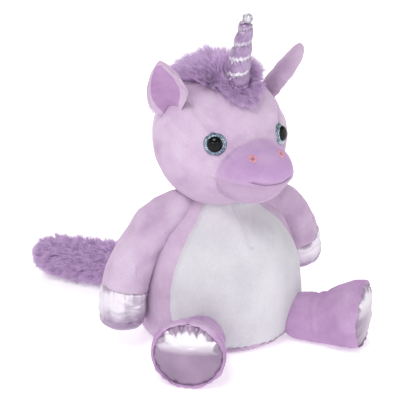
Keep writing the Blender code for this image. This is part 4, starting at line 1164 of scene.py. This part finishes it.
def strands(name, roots, normals, length, comb, tufts, seed, droop):
    """Tapered three-sided strands: each leaves along its normal, leans with the comb and into its tuft."""
    rng = np.random.default_rng(seed)
    count = len(roots)
    anchors = roots[rng.choice(count, tufts, replace=False)]
    nearest = np.empty(count, int)
    for low in range(0, count, 1500):
        part = roots[low : low + 1500]
        nearest[low : low + 1500] = ((part[:, None] - anchors[None]) ** 2).sum(-1).argmin(1)
    pull = anchors[nearest] - roots
    lean = rng.normal(size=(tufts, 3))[nearest] * 0.15 + rng.normal(size=(count, 3)) * 0.11
    long = length * rng.uniform(0.78, 1.06, count) * (1 + 0.10 * rng.normal(size=tufts)[nearest])
    direction = unit(normals + comb + lean)
    tip_way = unit(normals * 0.55 + comb * 1.7 + lean * 1.5 + np.array([0, 0, -droop]))
    share = LEVELS[None, :, None]
    bent = direction[:, None] * share * (1 - 0.5 * share) + tip_way[:, None] * 0.5 * share ** 2
    line = roots[:, None] + long[:, None, None] * bent
    line = line + pull[:, None] * (0.55 * share ** 1.4)
    wave = rng.uniform(0, 2 * math.pi, (count, 1, 1))
    across = unit(np.cross(direction, rng.normal(size=(count, 3))))
    line = line + across[:, None] * np.sin(share * 5.0 + wave) * 0.7 * share
    other = unit(np.cross(direction, across))
    thick = 0.55 * rng.uniform(0.7, 1.25, count)[:, None] * np.array([0.9, 1.0, 0.62])[None]
    corner = circle(3)
    ring = np.cos(corner)[None, :, None] * across[:, None] + np.sin(corner)[None, :, None] * other[:, None]
    body = line[:, :3, None] + thick[..., None, None] * 0.5 * ring[:, None]
    points = np.concatenate([body.reshape(count, 9, 3), line[:, 3:4]], axis=1)
    base = np.arange(3)
    after = (base + 1) % 3
    quads = [np.stack([k + base, k + after, k + 3 + after, k + 3 + base], -1) for k in (0, 3)]
    tris = np.concatenate([np.stack([6 + base, 6 + after, np.full(3, 9)], -1), [[2, 1, 0]]])
    offset = (np.arange(count) * STRAND_POINTS)[:, None, None]
    quads = (np.concatenate(quads)[None] + offset).reshape(-1, 4)
    mesh = mesh_from_arrays(name, points.reshape(-1, 3) * MM, quads, (tris[None] + offset).reshape(-1, 3))
    set_values(mesh, "along", np.tile(np.concatenate([np.repeat(LEVELS[:3], 3), [1.0]]), count))
    shade = share_of(0.5 + 0.3 * rng.normal(size=tufts)[nearest] + 0.18 * rng.normal(size=count))
    set_values(mesh, "shade", np.repeat(shade, STRAND_POINTS))
    return mesh


def core_values(mesh):
    """Give a furry core the values of strands near their roots, so it takes their painted shade."""
    for name, value in (("along", 0.15), ("shade", 0.3)):
        set_values(mesh, name, np.full(len(mesh.vertices), value))
    return mesh


def mane_half(crest):
    """Half width of the mane at an angle from the crown."""
    spread = np.sin(math.pi * share_of((crest + 100.0) / 150.0))
    return 31.0 * (0.42 + 0.58 * spread ** 0.6) * (1 - 0.45 * share_of((crest - 18.0) / 30.0))


def mane_body(crest, front, back):
    """Fullness of the mane at an angle from the crown, thinner towards both ends."""
    return share_of(np.minimum(front + 0.03 * (50 - crest), back + 0.02 * (crest + 100)))


def mane_place(crest, across, lift):
    """Point over the head at an angle forward of the crown, a share across and a height."""
    sideways = across * mane_half(crest) / HEAD_RADIUS
    forward = np.radians(crest)
    direction = np.stack([np.sin(sideways), -np.cos(sideways) * np.sin(forward),
                          np.cos(sideways) * np.cos(forward)], -1)
    return HEAD + direction * (HEAD_RADIUS + lift)[..., None], direction


def build_mane():
    """Fur crest over the crown, round the horn, and a forelock on the forehead."""
    rng = np.random.default_rng(61)
    turn = circle(60)[None, :]
    crest = np.linspace(42.0, -97.0, 90)[:, None]
    lift = -2.0 + 11.0 * mane_body(crest, 0.25, 0.35) * share_of(np.sin(turn)) ** 0.7
    grid, _ = mane_place(crest + 0 * turn, np.cos(turn) * 0.9 + 0 * crest, lift)
    grid = grid + unit(grid - HEAD) * (0.8 * waves(grid, 9.0, 62))[..., None]
    dress(core_values(grid_mesh("mane_core", grid)), (FUR,), "head", ("mane_crest",))
    count = 23000
    clear_radius = 11.0
    crest = rng.uniform(-99, 43, count)
    across = rng.uniform(-1, 1, count)
    roots, direction = mane_place(crest, across, np.full(count, 0.5))
    from_horn = np.linalg.norm(np.cross(roots - HORN_FOOT, HORN_AXIS), axis=1)
    keep = from_horn > clear_radius
    crest, across, roots = crest[keep], across[keep], roots[keep]
    direction, from_horn = direction[keep], from_horn[keep]
    length = 27.0 * mane_body(crest, 0.40, 0.45) * (0.62 + 0.38 * np.sqrt(1 - across ** 2))
    near_horn = bump(from_horn, clear_radius, 5.0)
    length = length * (1 - near_horn) + 18.0 * near_horn
    forward = np.cross(SIDEWAYS, direction)
    front = share_of((crest - 5) / 35)[:, None]
    comb = SIDEWAYS * (across * 0.55)[:, None] - forward * 0.35 * (1 - front)
    comb = comb + forward * 1.7 * front - SIDEWAYS * (across[:, None] * front)
    clear = roots - HORN_FOOT
    clear = clear - (clear @ HORN_AXIS)[:, None] * HORN_AXIS
    comb = comb * (1 - 0.8 * near_horn)[:, None] + unit(clear) * (0.12 * near_horn)[:, None]
    for half, name in enumerate(("mane_fur", "mane_fur_between")):
        part = slice(half, None, 2)
        mesh = strands(name, roots[part], direction[part], length[part], comb[part], 420, 63 + half, 0.1)
        dress(mesh, (FUR,), "head")
    print("mane strands", len(roots))


TAIL_SWING = math.radians(34.0)
TAIL_WAY = np.array([-math.sin(TAIL_SWING), math.cos(TAIL_SWING), 0.0])
TAIL_LEVEL = np.array([TAIL_WAY[1], -TAIL_WAY[0], 0.0])
TAIL_PLACES = [-0.2, 0, 0.08, 0.22, 0.42, 0.64, 0.82, 0.92, 0.975, 1.0]
TAIL_RADII = [20, 20, 20.4, 23.6, 24.5, 24.5, 22.7, 19.0, 12.5, 3]
TAIL_DROPS = [0, 0, 0.1, 0.55, 0.92, 1, 1, 1, 1, 1]


def tail_line(share):
    """Centre and radius of the tail at shares of its length."""
    height = TAIL_HIGH + (TAIL_LOW - TAIL_HIGH) * np.interp(share, TAIL_PLACES, TAIL_DROPS)
    centre = np.array([0, TAIL_ROOT, 0]) + TAIL_WAY * (share * TAIL_LENGTH)[..., None]
    return centre + UP * height[..., None], np.interp(share, TAIL_PLACES, TAIL_RADII)


def build_tail():
    """Furry tail: a core and the strands that lie back along it."""
    rng = np.random.default_rng(71)
    turn = circle(64)[None, :]
    centre, radius = tail_line(np.linspace(-0.13, 0.94, 110))
    fat = np.maximum(radius - 8.0, 2.0)[:, None]
    grid = centre[:, None] + spin(turn, TAIL_LEVEL, UP) * fat[..., None]
    pivot = np.array([0.0, TAIL_ROOT, TAIL_HIGH])
    bend = (pivot - TAIL_WAY * 12, pivot + TAIL_WAY * 14)
    core = core_values(grid_mesh("tail_core", grid))
    dress(core, (FUR,), "tail", ("tail_cover", "tail_stuffing"), bend)
    count = 23500
    at_end = rng.uniform(0, 1, count) < 0.10
    place = np.where(at_end, rng.uniform(0.90, 0.99, count), rng.uniform(-0.10, 0.97, count))
    normal = spin(rng.uniform(0, 2 * math.pi, count), TAIL_LEVEL, UP)
    centre, radius = tail_line(place)
    roots = centre + normal * np.maximum(radius - 9.0, 2.0)[:, None]
    end = share_of((place - 0.86) / 0.12)[:, None] * rng.uniform(0.7, 1.6, count)[:, None]
    normal = unit(normal * (1 - 0.45 * end) + TAIL_WAY * end)
    roots = roots - (roots - centre) * np.clip(end - 0.6, 0, 0.8)
    length = np.clip(radius * 0.42 + 5.0, 8, 15) * rng.uniform(0.85, 1.1, count)
    comb = TAIL_WAY * 0.45 * share_of(1 - end)
    for half, name in enumerate(("tail_fur", "tail_fur_between")):
        part = slice(half, None, 2)
        mesh = strands(name, roots[part], normal[part], length[part], comb[part], 600, 73 + half, 0.15)
        points = points_of(mesh)
        points[:, 2] = np.maximum(points[:, 2], 0.3)
        set_points(mesh, points)
        dress(mesh, (FUR,), "tail", bend=bend)
    print("tail strands", count)


build_mane()
build_tail()


# %% [markdown]
# ## Light, floor and camera
# The toy sits on a plain pale floor in soft, even light. The camera looks from its right front, a little above.


# %% Stage
def build_floor():
    """A broad round pale floor that curves up into a low wall all round and glows faintly, to stay white."""
    turn = circle(96)[None, :]
    away = np.linspace(60.0, 4200.0, 90)[:, None]
    bowl = 2600.0
    rise = np.where(away > bowl, (away - bowl) ** 2 / 1300.0, 0.0)
    grid = np.stack([away * np.cos(turn), away * np.sin(turn), rise + 0 * turn], -1)
    mesh = grid_mesh("floor", grid, first=(0, 0, 0), last=False)
    material, tree, coords = start_material("painted_board_white")
    color = ramp(tree, noise(tree, coords, 2.0), [(0.3, linear("#FAFAFA")), (0.7, linear("#FFFFFF"))])
    shader = finish_shader(tree, color, {"Roughness": 0.9, "Emission Strength": 0.38})
    tree.links.new(color, shader.inputs["Emission Color"])
    mesh.materials.append(material)
    new_object(mesh)


def add_light(name, place, size, power):
    """A square soft light that points at the toy."""
    data = bpy.data.lights.new(name, "AREA")
    data.energy = power
    data.size = size
    obj = bpy.data.objects.new(name, data)
    obj.location = place
    obj.rotation_euler = (Vector((0, 0, 0.15)) - Vector(place)).to_track_quat("-Z", "Y").to_euler()
    SCENE.collection.objects.link(obj)


def build_stage():
    """Floor, lights, surroundings and camera."""
    build_floor()
    add_light("key", (-1.2, -1.1, 2.1), 0.9, 25.5)
    add_light("fill", (1.7, -1.4, 1.0), 1.6, 7.0)
    add_light("catch left", (-1.35, -1.05, 0.72), 0.12, 1.6)
    add_light("catch right", (-0.45, -1.65, 0.80), 0.10, 1.0)
    add_light("back", (0.4, 1.6, 1.8), 1.4, 16.0)
    world = bpy.data.worlds.new("studio")
    world.use_nodes = True
    world.node_tree.nodes["Background"].inputs["Color"].default_value = grey(1)
    world.node_tree.nodes["Background"].inputs["Strength"].default_value = 0.37
    SCENE.world = world
    SCENE.view_settings.view_transform = "Standard"
    turn, rise = math.radians(-30.0), math.radians(18.3)
    back = Vector((math.sin(turn) * math.cos(rise), -math.cos(turn) * math.cos(rise), math.sin(rise)))
    data = bpy.data.cameras.new("camera")
    data.lens = 144.0
    data.sensor_width = 36.0
    camera = bpy.data.objects.new("camera", data)
    camera.location = Vector((-0.015, 0.0094, 0.137)) + back * 1.6
    camera.rotation_euler = (-back).to_track_quat("-Z", "Y").to_euler()
    SCENE.collection.objects.link(camera)
    SCENE.camera = camera


build_stage()
